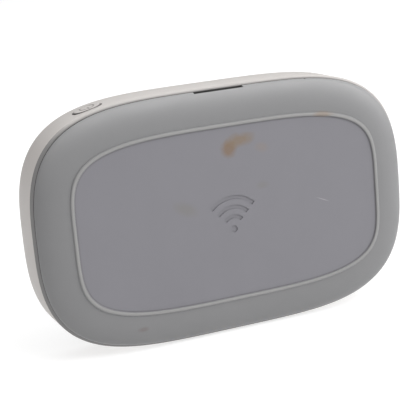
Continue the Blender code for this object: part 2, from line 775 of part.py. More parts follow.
def make_power_key(case):
    flange_top = flange_depth()
    rings = [
        (flange_top - KEY_FLANGE_THICK, -KEY_FLANGE),
        (flange_top, -KEY_FLANGE),
        (flange_top, 0.0),
        (KEY_PROUD - KEY_SIDE_TOP, 0.0),
        (KEY_PROUD - KEY_CROWN_DROP, KEY_CROWN_RUN),
        (KEY_PROUD, KEY_TOP_RUN),
    ]
    key = upright_loft(key_outline(0.0), rings)
    make_part("power_button", key, BAND_PLASTIC, KEY_FRAME, case)
    side = SWITCH_SIDE / 2
    seat = switch_depth() - SWITCH_HEIGHT
    switch = make_block(
        "power_switch",
        (-side, -side, seat),
        (side, side, switch_depth() - PLUNGER_PROUD),
        SHIELD_STEEL,
        case,
        KEY_FRAME,
    )
    plunger = peg(PLUNGER_RADIUS, seat + PLUNGER_ROOT, switch_depth())
    combine(switch, make_part("plunger", plunger, BLACK_PLASTIC, KEY_FRAME, case), "UNION")
    make_block(
        "key_flex",
        (-KEY_LENGTH / 2, -side, flex_depth() - FLEX_THICK),
        (KEY_LENGTH / 2, side, flex_depth()),
        FLEX_FILM,
        case,
        KEY_FRAME,
    )


def make_reset_key(case):
    flange_back = FRAME_FRONT - GAP
    flange_front = flange_back - RESET_FLANGE_THICK
    head_back = DECK - RESET_SINK
    button = turned(
        [
            (0.0, flange_front),
            (RESET_RADIUS + RESET_FLANGE, flange_front),
            (RESET_RADIUS + RESET_FLANGE, flange_back),
            (RESET_RADIUS, flange_back),
            (RESET_RADIUS, head_back - RESET_EDGE),
            (RESET_RADIUS - RESET_EDGE, head_back),
            (0.0, head_back),
        ]
    )
    make_part("reset_button", button, CAP_RUBBER, at(RESET_X, 0.0, RESET_Z) @ ALONG_DEPTH, case)
    reach = (RESET_SWITCH_LENGTH / 2, RESET_SWITCH_WIDTH / 2)
    switch_back = flange_front - RESET_TRAVEL - SWITCH_SLACK
    make_block(
        "reset_switch",
        (RESET_X - reach[0], BOARD_BACK + GAP, RESET_Z - reach[1]),
        (RESET_X + reach[0], switch_back, RESET_Z + reach[1]),
        SHIELD_STEEL,
        case,
    )


def make_ports(case):
    mouth = -USB_SINK
    floor = mouth - USB_LENGTH + USB_BACK_WALL
    shell = usb_block("usb_socket", 0.0, mouth - USB_LENGTH, mouth, SHIELD_STEEL, case)
    hollow = usb_block("usb_hollow", -USB_SHEET, floor, mouth + CUT_OVER, SHIELD_STEEL, case)
    combine(shell, hollow, "DIFFERENCE")
    reach = USB_WIDTH / 2 - USB_SHEET - 3 * GAP
    make_block(
        "usb_tongue",
        (-reach, -USB_DEPTH / 2 + USB_SHEET + 2 * GAP, floor + GAP),
        (reach, 0.0, mouth - TONGUE_SINK),
        BLACK_PLASTIC,
        case,
        USB_FRAME,
    )
    for name, side in ANTENNA_SIDES:
        frame = cap_frame(side)
        front = -(BAND_WALL + GAP)
        base = front - BARREL_LENGTH
        socket = turned(
            [
                (0.0, base),
                (BARREL_RADIUS, base),
                (BARREL_RADIUS, front),
                (BARREL_BORE, front),
                (BARREL_BORE, base + BARREL_FLOOR),
                (BARREL_PIN, base + BARREL_FLOOR),
                (BARREL_PIN, front - BARREL_PIN_SINK),
                (0.0, front - BARREL_PIN_SINK),
            ]
        )
        make_part("antenna_socket_" + name, socket, GOLD_CONTACT, frame, case)
        make_cap("antenna_cap_" + name, frame, side, case)


def make_cap(name, frame, side, case):
    """A rubber flap in its pocket; its origin is its hinge at the end away from the middle."""
    radius = CAP_THICK / 2
    reach = CAP_LENGTH / 2 - radius
    # Along the lower edge, the frame's X runs towards -X of the case.
    hinge = -side * reach
    profile = []
    for end, start_turn in ((reach, -90.0), (-reach, 90.0)):
        for step in range(2 * EDGE_STEPS + 1):
            turn = math.radians(start_turn + 90.0 * step / EDGE_STEPS)
            profile.append((end - hinge + radius * math.cos(turn), radius * math.sin(turn)))
    bm = bmesh.new()
    verts = [bm.verts.new((x, -CAP_WIDTH / 2, z)) for x, z in profile]
    face = bm.faces.new(verts)
    made = bmesh.ops.extrude_face_region(bm, geom=[face])["geom"]
    moved = [item for item in made if isinstance(item, bmesh.types.BMVert)]
    bmesh.ops.translate(bm, verts=moved, vec=(0.0, CAP_WIDTH, 0.0))
    place = frame @ at(hinge, 0.0, -radius)
    make_part(name, bm, CAP_RUBBER, place, case)


def make_antennas(case):
    outer = HALF_X - CARRIER_OUTER
    inner = outer - CARRIER_THICK
    reach_z = HALF_Z - CARRIER_MARGIN_Z
    skin = outer + GAP
    back = FRAME_FRONT - CARRIER_ROOM
    front = back - CARRIER_DEPTH
    element_z = reach_z - ELEMENT_MARGIN
    clip_z = CLIP_LENGTH / 2
    for name, side in ANTENNA_SIDES:
        spans = {
            "antenna_carrier_": (inner, outer, front, back, reach_z, FRAME_PLASTIC),
            "antenna_element_": (skin, skin + ELEMENT_THICK, front, back, element_z, GOLD_CONTACT),
            "antenna_clip_": (BOARD_X + GAP, inner - GAP, BOARD_FRONT, BOARD_BACK, clip_z, GOLD_CONTACT),
        }
        for prefix, (near, far, low, high, reach, finish) in spans.items():
            ends = sorted((side * near, side * far))
            make_block(prefix + name, (ends[0], low, -reach), (ends[1], high, reach), finish, case)


def make_back_cover(case):
    rise = BACK - COVER_RIM
    outer = [
        (COVER_RIM + rise * up, BAND_CHAMFER + FLANK_RUN * (1 - along))
        for up, along in quarter(FLANK_STEPS)
    ]
    inner = [
        (COVER_RIM + (rise - COVER_WALL) * up, BAND_CHAMFER + COVER_WALL + FLANK_RUN * (1 - along))
        for up, along in reversed(quarter(FLANK_STEPS))
    ]
    cover = make_part("back_cover", loft(CASE_OUTLINE, inner + outer), COVER_PLASTIC, Matrix(), case)
    half = RIDGE_WIDTH / 2
    turns = [math.pi * step / BEAD_STEPS for step in range(BEAD_STEPS + 1)]
    bead = [(BACK + RIDGE_PROUD * math.sin(turn), half * math.cos(turn)) for turn in turns]
    root = BACK - RIDGE_ROOT
    ridge = loft(RIDGE_OUTLINE, [(root, half)] + bead + [(root, -half)], hoop=True)
    combine(cover, make_part("ridge", ridge, COVER_PLASTIC, Matrix(), case), "UNION")
    rim_z = HALF_Z - BAND_CHAMFER - COVER_WALL - 2 * GAP
    notch = make_block(
        "thumb_notch",
        (-NOTCH_LENGTH / 2, COVER_RIM - CUT_OVER, rim_z),
        (NOTCH_LENGTH / 2, COVER_RIM + NOTCH_DEPTH, HALF_Z),
        COVER_PLASTIC,
        case,
    )
    combine(cover, notch, "DIFFERENCE")
    tab_front = DECK + GAP
    tab_back = COVER_RIM + 2 * COVER_WALL
    tab_out = FRAME_INSET + 2 * GAP
    for side in (-1, 1):
        for level in (-1, 1):
            z = sorted((level * (HALF_Z - tab_out), level * (HALF_Z - tab_out - TAB_THICK)))
            x = side * (HALF_X - TAB_FROM_END)
            tab = make_block(
                f"tab_{side}_{level}",
                (x - TAB_LENGTH / 2, tab_front, z[0]),
                (x + TAB_LENGTH / 2, tab_back, z[1]),
                COVER_PLASTIC,
                case,
            )
            combine(cover, tab, "UNION")
        x = sorted((side * (HALF_X - tab_out), side * (HALF_X - tab_out - TAB_THICK)))
        tab = make_block(
            f"end_tab_{side}",
            (x[0], tab_front, -TAB_LENGTH / 2),
            (x[1], tab_back, TAB_LENGTH / 2),
            COVER_PLASTIC,
            case,
        )
        combine(cover, tab, "UNION")


def main():
    clear_scene()
    case = bpy.data.objects.new("hotspot_case", None)
    bpy.context.collection.objects.link(case)
    case.location = (0.0, 0.0, HALF_Z * MM)
    make_band(case)
    make_front(case)
    make_display(case)
    make_board(case)
    make_rear_frame(case)
    make_screws(case)
    make_battery(case)
    make_sim(case)
    make_power_key(case)
    make_reset_key(case)
    make_ports(case)
    make_antennas(case)
    make_back_cover(case)


main()
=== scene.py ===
# %% [markdown]
# # A pocket mobile hotspot, seen from its back
# The real thing is a small battery-powered wireless router: a light side band, a soft-touch
# back cover that lifts off, a glass front, one key on top and two rubber flaps below. The
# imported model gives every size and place. This script only makes its surfaces, so each
# visible piece is modelled again, finely, round the plain solid that it stands for.

# %% Load the frame
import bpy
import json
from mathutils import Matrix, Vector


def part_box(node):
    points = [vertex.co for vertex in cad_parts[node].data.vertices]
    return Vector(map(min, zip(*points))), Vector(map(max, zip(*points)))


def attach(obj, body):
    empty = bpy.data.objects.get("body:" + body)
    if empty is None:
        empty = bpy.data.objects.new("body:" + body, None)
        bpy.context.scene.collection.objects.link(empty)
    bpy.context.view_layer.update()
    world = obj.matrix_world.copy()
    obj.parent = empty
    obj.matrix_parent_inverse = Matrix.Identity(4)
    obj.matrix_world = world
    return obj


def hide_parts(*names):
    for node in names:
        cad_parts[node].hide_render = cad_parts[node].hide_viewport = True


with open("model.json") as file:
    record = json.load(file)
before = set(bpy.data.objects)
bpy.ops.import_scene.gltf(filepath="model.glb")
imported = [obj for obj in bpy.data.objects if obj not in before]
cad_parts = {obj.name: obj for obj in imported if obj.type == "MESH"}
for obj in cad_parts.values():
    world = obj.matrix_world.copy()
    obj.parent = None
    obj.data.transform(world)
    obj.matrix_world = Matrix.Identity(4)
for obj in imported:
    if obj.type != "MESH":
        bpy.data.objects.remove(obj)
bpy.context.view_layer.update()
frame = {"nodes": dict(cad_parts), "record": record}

# %% Modules and units
import json
import math

import bpy
from mathutils import Matrix, Vector

MM = 0.001
scene = bpy.context.scene
scene.view_settings.view_transform = "Standard"

# %% [markdown]
# ## Sizes from the frame
# Seen from the back, the case is a soft rectangle: a superellipse, whose long and short sides
# each bulge a little. Its half sizes come from the side band's box, and the depths come from
# the boxes of the band and the cover, so the looks follow the model if a size changes.

# %% Case sizes
band_low, band_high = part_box("side_band")
cover_low, cover_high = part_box("back_cover")
GAP = 0.3 * MM
HALF_X = band_high.x
HALF_Z = band_high.z / 2
MID_Z = HALF_Z
SEAM = band_high.y + GAP / 2
COVER_RIM = band_high.y + GAP
RIDGE_PROUD = 0.4 * MM
BACK = cover_high.y - RIDGE_PROUD
MID_BAND = (band_low.y + SEAM) / 2
CHAMFER = 0.75 * MM
BAND_WALL = 2.0 * MM
CASE = (HALF_X, HALF_Z, 4.07, 2.99)
print("case", round(2 * HALF_X / MM, 1), "by", round(2 * HALF_Z / MM, 1), "mm")

# %% [markdown]
# ## Working as by hand
# An operator acts on whatever is selected, and loading the frame leaves its nodes selected.
# So each step starts by deselecting everything and picking one piece. The helpers below do
# that, add a box or a rod at its size, and carve or join pieces with a Boolean modifier.


# %% Selecting and carving
def pick(piece):
    bpy.ops.object.select_all(action="DESELECT")
    piece.select_set(True)
    bpy.context.view_layer.objects.active = piece
    return piece


def enter_edit(piece, action):
    pick(piece)
    bpy.ops.object.mode_set(mode="EDIT")
    bpy.ops.mesh.select_all(action=action)


def leave_edit():
    bpy.ops.object.mode_set(mode="OBJECT")


def name_new(name):
    piece = bpy.context.object
    piece.name = name
    piece.data.name = name
    return piece


def settle(piece):
    """Put a piece's place, turn and scale into its mesh, so that its object is at the origin."""
    pick(piece)
    bpy.ops.object.transform_apply(location=True, rotation=True, scale=True)
    return piece


def put_in(piece, place):
    piece.matrix_world = place
    bpy.context.view_layer.update()
    return settle(piece)


def smooth(piece, degrees=30):
    pick(piece)
    bpy.ops.object.shade_smooth_by_angle(angle=math.radians(degrees))
    return piece


def combine(piece, tool, operation="DIFFERENCE"):
    pick(piece)
    step = piece.modifiers.new("combine", "BOOLEAN")
    step.operation = operation
    step.object = tool
    bpy.ops.object.modifier_apply(modifier=step.name)
    bpy.data.objects.remove(tool)
    return piece


def round_edges(piece, rounding, segments=3):
    enter_edit(piece, "SELECT")
    bpy.ops.mesh.bevel(offset=rounding, segments=segments, affect="EDGES")
    leave_edit()


def box(name, low, high, rounding=0.0, segments=3, place=None):
    """A box between two corners with rounded edges, then moved to its place."""
    low, high = Vector(low), Vector(high)
    bpy.ops.object.select_all(action="DESELECT")
    bpy.ops.mesh.primitive_cube_add(size=1.0, location=(low + high) / 2, scale=high - low)
    piece = settle(name_new(name))
    if rounding:
        round_edges(piece, rounding, segments)
    return put_in(piece, place) if place else piece


def block(name, reach, low, high, rounding=0.0, segments=3, place=None):
    """A box centred on Z, given by its half sizes and two heights, then moved to its place."""
    half_x, half_y = reach
    return box(name, (-half_x, -half_y, low), (half_x, half_y, high), rounding, segments, place)


def rod(name, radius, low, high, sides=32, place=None):
    """A round bar along Z between two heights, then moved to its place."""
    bpy.ops.object.select_all(action="DESELECT")
    middle = (0.0, 0.0, (low + high) / 2)
    bpy.ops.mesh.primitive_cylinder_add(vertices=sides, radius=radius, depth=high - low, location=middle)
    piece = settle(name_new(name))
    return put_in(piece, place) if place else piece


print("helpers ready")

# %% [markdown]
# ## Lofting the soft rectangle
# The band, the cover and the front are all the same outline at different depths and insets.
# One circle is reshaped into the outline by its formula, then extruded ring by ring. Every
# vertex keeps its turn round the outline in an attribute, which extruding copies, so each new
# ring is placed exactly. A Solidify modifier couldn't give the chamfers and the raised ring.


# %% The outline and the loft
def rim_point(outline, turn, inset):
    half_x, half_z, power_x, power_z = outline
    across, up = math.cos(turn), math.sin(turn)
    x = math.copysign((half_x - inset) * abs(across) ** (2 / power_x), across)
    z = math.copysign((half_z - inset) * abs(up) ** (2 / power_z), up)
    return x, z


def place_ring(piece, outline, inset, depth, centre):
    turns = piece.data.attributes["turn"].data
    for vertex in piece.data.vertices:
        if vertex.select:
            x, z = rim_point(outline, turns[vertex.index].value, inset)
            y = depth(x, z) if callable(depth) else depth
            vertex.co = (x, y, z + centre)


def loft(name, rings, steps=256, hoop=False, centre=MID_Z):
    """Extrude (outline, inset, depth) rings; a hoop's last ring is merged with its first."""
    bpy.ops.object.select_all(action="DESELECT")
    bpy.ops.mesh.primitive_circle_add(vertices=steps, radius=HALF_Z, rotation=(math.pi / 2, 0.0, 0.0))
    piece = settle(name_new(name))
    turns = piece.data.attributes.new("turn", "FLOAT", "POINT")
    for vertex in piece.data.vertices:
        turns.data[vertex.index].value = math.atan2(vertex.co.z, vertex.co.x)
    enter_edit(piece, "SELECT")
    if not hoop:
        bpy.ops.mesh.edge_face_add()
    leave_edit()
    place_ring(piece, *rings[0], centre)
    for ring in rings[1:]:
        bpy.ops.object.mode_set(mode="EDIT")
        bpy.ops.mesh.extrude_region_move()
        leave_edit()
        place_ring(piece, *ring, centre)
    enter_edit(piece, "SELECT")
    bpy.ops.mesh.remove_doubles(threshold=1e-7)
    bpy.ops.mesh.normals_make_consistent(inside=False)
    leave_edit()
    piece.data.attributes.remove(piece.data.attributes["turn"])
    print(name, "has", len(piece.data.polygons), "faces")
    return piece


def quarter(steps, last=90.0):
    """Sine and cosine pairs from 0 to the last angle, in degrees."""
    turns = [math.radians(last * step / steps) for step in range(steps + 1)]
    return [(math.sin(turn), math.cos(turn)) for turn in turns]


def rim_frame(x, side):
    """A frame on the case's edge at x, with Z straight out; side is 1 on top, -1 below."""
    half_x, half_z, power_x, power_z = CASE
    across = abs(x) / half_x
    reach = 1 - across**power_x
    fall = half_z * power_x / (power_z * half_x) * across ** (power_x - 1) * reach ** (1 / power_z - 1)
    out = Vector((math.copysign(fall, x), 0.0, side)).normalized()
    through = Vector((0.0, 1.0, 0.0))
    turn = Matrix((through.cross(out), through, out)).transposed().to_4x4()
    return Matrix.Translation((x, MID_BAND, MID_Z + side * half_z * reach ** (1 / power_z))) @ turn


KEY_X = HALF_X - 19.5 * MM
KEY_FRAME = rim_frame(KEY_X, 1)
USB_FRAME = rim_frame(0.0, -1)
ANTENNA_X = 24.0 * MM
FLAP_FRAMES = {side: rim_frame(side * ANTENNA_X, -1) for side in (-1, 1)}
UPRIGHT = Matrix.Rotation(math.pi / 2, 4, "X")
ALONG_DEPTH = Matrix.Rotation(-math.pi / 2, 4, "X")


def through_case(x, z):
    """A frame at x and z whose own Z runs through the case's depth, towards the back."""
    return Matrix.Translation((x, 0.0, z)) @ ALONG_DEPTH


print("power key sits at", [round(c / MM, 1) for c in KEY_FRAME.translation])

# %% [markdown]
# ## Side band
# The band is one moulded hoop with a rounded front edge and a thin chamfer beside the seam,
# which catches less light than the flat side. It is lofted as a hoop, then cut for the power
# key, the USB port and the two antenna flaps, as the mould would leave them.

# %% Side band
EDGE_ROUND = 0.9 * MM
KEY_HALF = (3.8 * MM, 2.8 * MM)
KEY_POWER = 2.3
KEY_GAP = 0.25 * MM
USB_ROOM = (4.05 * MM, 1.6 * MM)
USB_SCOOP = (6.5 * MM, 3.3 * MM)
PORT_RADIUS = 2.1 * MM
CUT_FOOT, CUT_TOP = -5 * MM, 3 * MM
FLAP_LENGTH, FLAP_WIDTH, FLAP_THICK = 8.0 * MM, 5.0 * MM, 1.1 * MM
band_rings = [
    (CASE, EDGE_ROUND * (1 - along), band_low.y + EDGE_ROUND * (1 - up)) for along, up in quarter(8)
]
band_rings += [
    (CASE, 0.0, band_high.y - CHAMFER - 0.08 * MM),
    (CASE, 0.03 * MM, band_high.y - CHAMFER + 0.02 * MM),
    (CASE, CHAMFER - 0.05 * MM, band_high.y - 0.03 * MM),
    (CASE, CHAMFER + 0.05 * MM, band_high.y),
    (CASE, BAND_WALL, band_high.y),
    (CASE, BAND_WALL, band_low.y),
    band_rings[0],
]
band = loft("band_shell", band_rings, hoop=True)


def key_outline(grow):
    return (KEY_HALF[0] + grow, KEY_HALF[1] + grow, KEY_POWER, KEY_POWER)


def key_loft(name, rings):
    return put_in(loft(name, rings, steps=96, centre=0.0), KEY_FRAME @ UPRIGHT)


hole = key_outline(KEY_GAP)
combine(band, key_loft("key_hole", [(hole, 0.0, CUT_FOOT), (hole, 0.0, CUT_TOP)]))
combine(band, block("usb_hole", USB_ROOM, CUT_FOOT, CUT_TOP, 0.5 * MM, place=USB_FRAME))
combine(band, block("usb_scoop", USB_SCOOP, -0.5 * MM, CUT_TOP, 0.45 * MM, place=USB_FRAME))
pocket_reach = (FLAP_LENGTH / 2 + GAP, FLAP_WIDTH / 2 + GAP)
pocket_floor = -FLAP_THICK - GAP
for flap_frame in FLAP_FRAMES.values():
    combine(band, block("flap_pocket", pocket_reach, pocket_floor, 2 * MM, 0.2 * MM, place=flap_frame))
    combine(band, rod("port_hole", PORT_RADIUS, CUT_FOOT, 0.0, place=flap_frame))
smooth(band)
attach(band, "housing")
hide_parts("side_band")
print("band cut:", len(band.data.polygons), "faces")

# %% [markdown]
# ## Back cover
# The cover's flank is a quarter of an ellipse that rises from the seam and lies down flat on
# the back. A thin raised ring, a bead about a millimetre wide, runs round the flat pad. The
# ring isn't parallel to the edge: its corners are squarer, so its rings use an outline of
# their own, and they take their depth from the flank's formula where they cross it.

# %% Back cover: shape
FLANK_RUN = 9.2 * MM
COVER_WALL = 1.0 * MM
RING = (HALF_X - 9.9 * MM, HALF_Z - 9.9 * MM, 3.66, 4.55)
RING_HALF = 0.52 * MM
rise = BACK - COVER_RIM


def inset_at(x, z):
    """How far a point lies inside the case's outline, found by halving."""
    half_x, half_z, power_x, power_z = CASE
    low, high = 0.0, 14 * MM
    for _ in range(30):
        middle = (low + high) / 2
        level = (abs(x) / (half_x - middle)) ** power_x + (abs(z) / (half_z - middle)) ** power_z
        low, high = (middle, high) if level < 1 else (low, middle)
    return low


def cover_depth(x, z):
    along = min(1.0, max(0.0, 1 - (inset_at(x, z) - CHAMFER) / FLANK_RUN))
    return COVER_RIM + rise * math.sqrt(1 - along**2)


def bead_depth(height):
    return lambda x, z: cover_depth(x, z) + height


inner_rings = [
    (CASE, CHAMFER + COVER_WALL + FLANK_RUN * (1 - along), COVER_RIM + (rise - COVER_WALL) * up)
    for up, along in reversed(quarter(12))
]
outer_rings = [
    (CASE, CHAMFER + FLANK_RUN * (1 - along), COVER_RIM + rise * up) for up, along in quarter(18, 76.0)
]
bead_rings = []
for step in range(13):
    swing = math.pi * step / 12
    height = RIDGE_PROUD * math.sin(swing) ** 0.7
    bead_rings.append((RING, -RING_HALF * math.cos(swing), bead_depth(height)))
pad_rings = [(RING, RING_HALF + 0.5 * MM, BACK), (RING, RING_HALF + 4 * MM, BACK)]
cover = loft("cover_shell", inner_rings + outer_rings + bead_rings + pad_rings)

# %% [markdown]
# The thumb notch is cut through the cover's rim in the middle of the top edge, and a much
# smaller one marks where the rim's parting line ends. Snap tabs stand inside the rim.

# %% Back cover: notch and tabs
rim_cuts = (
    ("thumb_notch", -7 * MM, 7 * MM, 0.95 * MM, 2.35 * MM),
    ("rim_tick", -25.8 * MM, -25.2 * MM, 0.35 * MM, 2.6 * MM),
)
for name, near, far, depth, drop in rim_cuts:
    low = (near, COVER_RIM - 1 * MM, 2 * HALF_Z - drop)
    combine(cover, box(name, low, (far, COVER_RIM + depth, 2 * HALF_Z + 1 * MM)))
TAB_X, TAB_HALF, TAB_THICK, TAB_ROUND = 20 * MM, 3 * MM, 1 * MM, 0.15 * MM
tab_out = BAND_WALL + 3 * GAP
tab_front, tab_back = cover_low.y, COVER_RIM + 2 * COVER_WALL
for side in (-1, 1):
    for level in (-1, 1):
        edges = (HALF_Z - tab_out, HALF_Z - tab_out - TAB_THICK)
        ends = sorted(MID_Z + level * edge for edge in edges)
        x = side * TAB_X
        low, high = (x - TAB_HALF, tab_front, ends[0]), (x + TAB_HALF, tab_back, ends[1])
        combine(cover, box("tab", low, high, TAB_ROUND), "UNION")
    ends = sorted((side * (HALF_X - tab_out), side * (HALF_X - tab_out - TAB_THICK)))
    low, high = (ends[0], tab_front, MID_Z - TAB_HALF), (ends[1], tab_back, MID_Z + TAB_HALF)
    combine(cover, box("end_tab", low, high, TAB_ROUND), "UNION")
print("cover with notch and tabs:", len(cover.data.polygons), "faces")

# %% [markdown]
# The middle of the pad carries a sunk mark: three plain wireless arcs over a dot. Each arc is
# a small upright face spun through a quarter turn, which gives a clean sector to cut with.

# %% Back cover: sunk mark
MARK_STROKE = 1.1 * MM
MARK_FOOT = MID_Z - 4.5 * MM
MARK_FLOOR, MARK_TOP = BACK - 0.25 * MM, BACK + 1 * MM
ARC_RADII = (3.4 * MM, 6.0 * MM, 8.6 * MM)
DOT_RADIUS = 0.95 * MM


def spun_sector(name, radius, stroke, centre, low, high, start, sweep):
    """A sector of a ring round Y, from the start angle through the sweep, in degrees."""
    begin = math.radians(start)
    spot = Vector((radius * math.cos(begin), 0.0, radius * math.sin(begin)))
    bpy.ops.object.select_all(action="DESELECT")
    middle = Vector((centre[0], (low + high) / 2, centre[1]))
    bpy.ops.mesh.primitive_plane_add(size=1.0, location=middle + spot, rotation=(0.0, -begin, 0.0))
    piece = name_new(name)
    piece.scale = (stroke, high - low, 1.0)
    settle(piece)
    enter_edit(piece, "SELECT")
    bpy.ops.mesh.spin(
        steps=max(6, int(sweep / 3)), angle=math.radians(sweep), center=middle, axis=(0.0, 1.0, 0.0)
    )
    bpy.ops.mesh.select_all(action="SELECT")
    bpy.ops.mesh.remove_doubles(threshold=1e-7)
    bpy.ops.mesh.normals_make_consistent(inside=False)
    leave_edit()
    return piece


mark_centre = (0.0, MARK_FOOT)
for radius in ARC_RADII:
    combine(cover, spun_sector("arc", radius, MARK_STROKE, mark_centre, MARK_FLOOR, MARK_TOP, 45.0, 90.0))
combine(cover, rod("dot", DOT_RADIUS, MARK_FLOOR, MARK_TOP, place=through_case(*mark_centre)))
smooth(cover, 28)
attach(cover, "back_cover")
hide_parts("back_cover")
print("cover finished:", len(cover.data.polygons), "faces")

# %% [markdown]
# ## Power key
# The key is a small oval cap with a rolled edge that stands a hair above the band. A generic
# power symbol, a broken ring with a bar, is engraved in it.

# %% Power key
KEY_TOP = 0.25 * MM
flange, cap = key_outline(0.5 * MM), key_outline(0.0)
FLANGE_FOOT, FLANGE_TOP = -3.3 * MM, -2.75 * MM
key_rings = [
    (flange, 0.0, FLANGE_FOOT),
    (flange, 0.0, FLANGE_TOP),
    (cap, 0.0, FLANGE_TOP),
    (cap, 0.0, KEY_TOP - 0.35 * MM),
    (cap, 0.06 * MM, KEY_TOP - 0.2 * MM),
    (cap, 0.18 * MM, KEY_TOP - 0.12 * MM),
    (cap, 0.5 * MM, KEY_TOP - 0.06 * MM),
    (cap, 1.2 * MM, KEY_TOP),
]
power_key = key_loft("power_key", key_rings)
SYMBOL_OUT = (2.1 * MM, 2.1 * MM, 2, 2)
SYMBOL_IN = (1.65 * MM, 1.65 * MM, 2, 2)
symbol_floor, symbol_top = KEY_TOP - 0.15 * MM, KEY_TOP + 1 * MM
symbol_rings = [
    (SYMBOL_OUT, 0.0, symbol_floor),
    (SYMBOL_OUT, 0.0, symbol_top),
    (SYMBOL_IN, 0.0, symbol_top),
    (SYMBOL_IN, 0.0, symbol_floor),
    (SYMBOL_OUT, 0.0, symbol_floor),
]
symbol = loft("symbol", symbol_rings, steps=64, hoop=True, centre=0.0)
combine(symbol, box("break", (-0.55 * MM, -1 * MM, -3 * MM), (0.55 * MM, 3 * MM, 0.0)))
put_in(symbol, KEY_FRAME @ UPRIGHT)
combine(power_key, symbol)
bar_low = (-0.22 * MM, 0.35 * MM, symbol_floor)
combine(power_key, box("bar", bar_low, (0.22 * MM, 2.3 * MM, 1 * MM), place=KEY_FRAME))
smooth(power_key)
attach(power_key, "power_key")
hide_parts("power_button")
print("power key finished:", len(power_key.data.polygons), "faces")

# %% [markdown]
# ## Front
# The front is a black frame with a rolled outer edge, and a flat glass lens let into it. The
# frame is the same loft with other insets. A box cuts the window through which the display
# shows, and six hollow bosses inside take the screws.

# %% Front cover
front_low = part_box("front_cover")[0]
lens_low, lens_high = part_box("touch_lens")
display_low, display_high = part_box("display_module")
deck_low, deck_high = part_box("rear_frame")
FRAME_INSET = BAND_WALL + GAP
OVERHANG = 1.2 * MM
LENS_INSET = 5.0 * MM
PLATE_SEAT = lens_high.y + GAP
PLATE_BACK = display_low.y - GAP
SKIRT_BACK = PLATE_BACK + 1.3 * MM
SKIRT_WALL = 1.2 * MM
EDGE_RUN, EDGE_DROP = 1.3 * MM, 0.65 * MM
WINDOW_BORDER = 2.2 * MM
BOSS_RADIUS, BORE_RADIUS = 2.1 * MM, 1.1 * MM
front_rings = [
    (CASE, FRAME_INSET + SKIRT_WALL, PLATE_BACK),
    (CASE, FRAME_INSET + SKIRT_WALL, SKIRT_BACK),
    (CASE, FRAME_INSET, SKIRT_BACK),
    (CASE, FRAME_INSET, band_low.y - GAP),
    (CASE, OVERHANG, band_low.y - GAP),
]
front_rings += [
    (CASE, OVERHANG + EDGE_RUN * (1 - along), front_low.y + EDGE_DROP * (1 - up))
    for up, along in quarter(8)
]
front_rings += [
    (CASE, LENS_INSET - GAP - 0.1 * MM, front_low.y),
    (CASE, LENS_INSET - GAP, front_low.y + 0.1 * MM),
    (CASE, LENS_INSET - GAP, PLATE_SEAT),
]
front = loft("front_frame", front_rings)
window_low = (display_low.x + WINDOW_BORDER, PLATE_SEAT - GAP, display_low.z + WINDOW_BORDER)
window_high = (display_high.x - WINDOW_BORDER, PLATE_BACK + GAP, display_high.z - WINDOW_BORDER)
combine(front, box("window", window_low, window_high, 0.2 * MM))
screw_places = [sum(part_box(f"screw_{number}"), Vector()) / 2 for number in range(1, 7)]
for spot in screw_places:
    place = through_case(spot.x, spot.z)
    boss = rod("boss", BOSS_RADIUS, PLATE_BACK - 0.4 * MM, deck_low.y - GAP, place=place)
    combine(front, boss, "UNION")
    combine(front, rod("bore", BORE_RADIUS, PLATE_BACK + 0.5 * MM, deck_low.y + GAP, place=place))
smooth(front)
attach(front, "housing")
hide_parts("front_cover")
print("front frame finished:", len(front.data.polygons), "faces")

# %% Front glass
GLASS_RUN, GLASS_DROP = 0.45 * MM, 0.3 * MM
glass_rings = [(CASE, LENS_INSET, lens_high.y)]
glass_rings += [
    (CASE, LENS_INSET + GLASS_RUN * (1 - along), lens_low.y + GLASS_DROP * (1 - up))
    for up, along in quarter(6)
]
glass_rings.append((CASE, LENS_INSET + 2 * MM, lens_low.y))
glass = loft("front_glass", glass_rings)
smooth(glass)
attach(glass, "housing")
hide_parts("touch_lens")
print("front glass finished:", len(glass.data.polygons), "faces")

# %% [markdown]
# ## Inner tray
# Under the back cover lies the rear half of the chassis: a dark deck with a bay for the
# battery, a smaller one for the SIM socket, counterbored screw holes and room for the ports.
# It is one loft with box-shaped and round cuts, and low ribs that stiffen the deck.

# %% Inner tray
battery_low, battery_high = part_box("battery_pack")
socket_low, socket_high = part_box("sim_socket")
holder_low, holder_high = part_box("battery_contact_block")
reset_low, reset_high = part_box("reset_button")
DECK = deck_high.y
BAY_FLOOR = battery_low.y - GAP
OVER = DECK + 1 * MM
SPARE = 0.7 * MM
KEY_ROOM = (4.7 * MM, 3.7 * MM)
tray_rings = [
    (CASE, FRAME_INSET, deck_low.y),
    (CASE, FRAME_INSET, DECK - 0.35 * MM),
    (CASE, FRAME_INSET + 0.3 * MM, DECK),
]
tray = loft("inner_tray", tray_rings)
rooms = (
    ((battery_low.x - GAP, battery_low.z - GAP), (battery_high.x + GAP, battery_high.z + GAP)),
    ((battery_high.x - GAP, socket_low.z - SPARE), (socket_high.x + GAP, socket_high.z + SPARE)),
    ((holder_low.x - GAP, holder_low.z - GAP), (battery_low.x + GAP, holder_high.z + GAP)),
)
for low, high in rooms:
    combine(tray, box("room", (low[0], BAY_FLOOR, low[1]), (high[0], OVER, high[1])))
finger_low = (-9 * MM, BAY_FLOOR + 1.2 * MM, battery_high.z - 1 * MM)
finger_high = (9 * MM, OVER, battery_high.z + 3.2 * MM)
combine(tray, box("finger_room", finger_low, finger_high, 0.9 * MM, segments=4))
port_rooms = [
    ("usb_room", USB_ROOM, 7.1 * MM, USB_FRAME),
    ("key_room", KEY_ROOM, 6.2 * MM, KEY_FRAME),
]
for flap_frame in FLAP_FRAMES.values():
    port_rooms.append(("barrel_room", (PORT_RADIUS, PORT_RADIUS), 6.6 * MM, flap_frame))
for name, reach, depth, place in port_rooms:
    combine(tray, block(name, reach, -depth, 0.0, place=place))
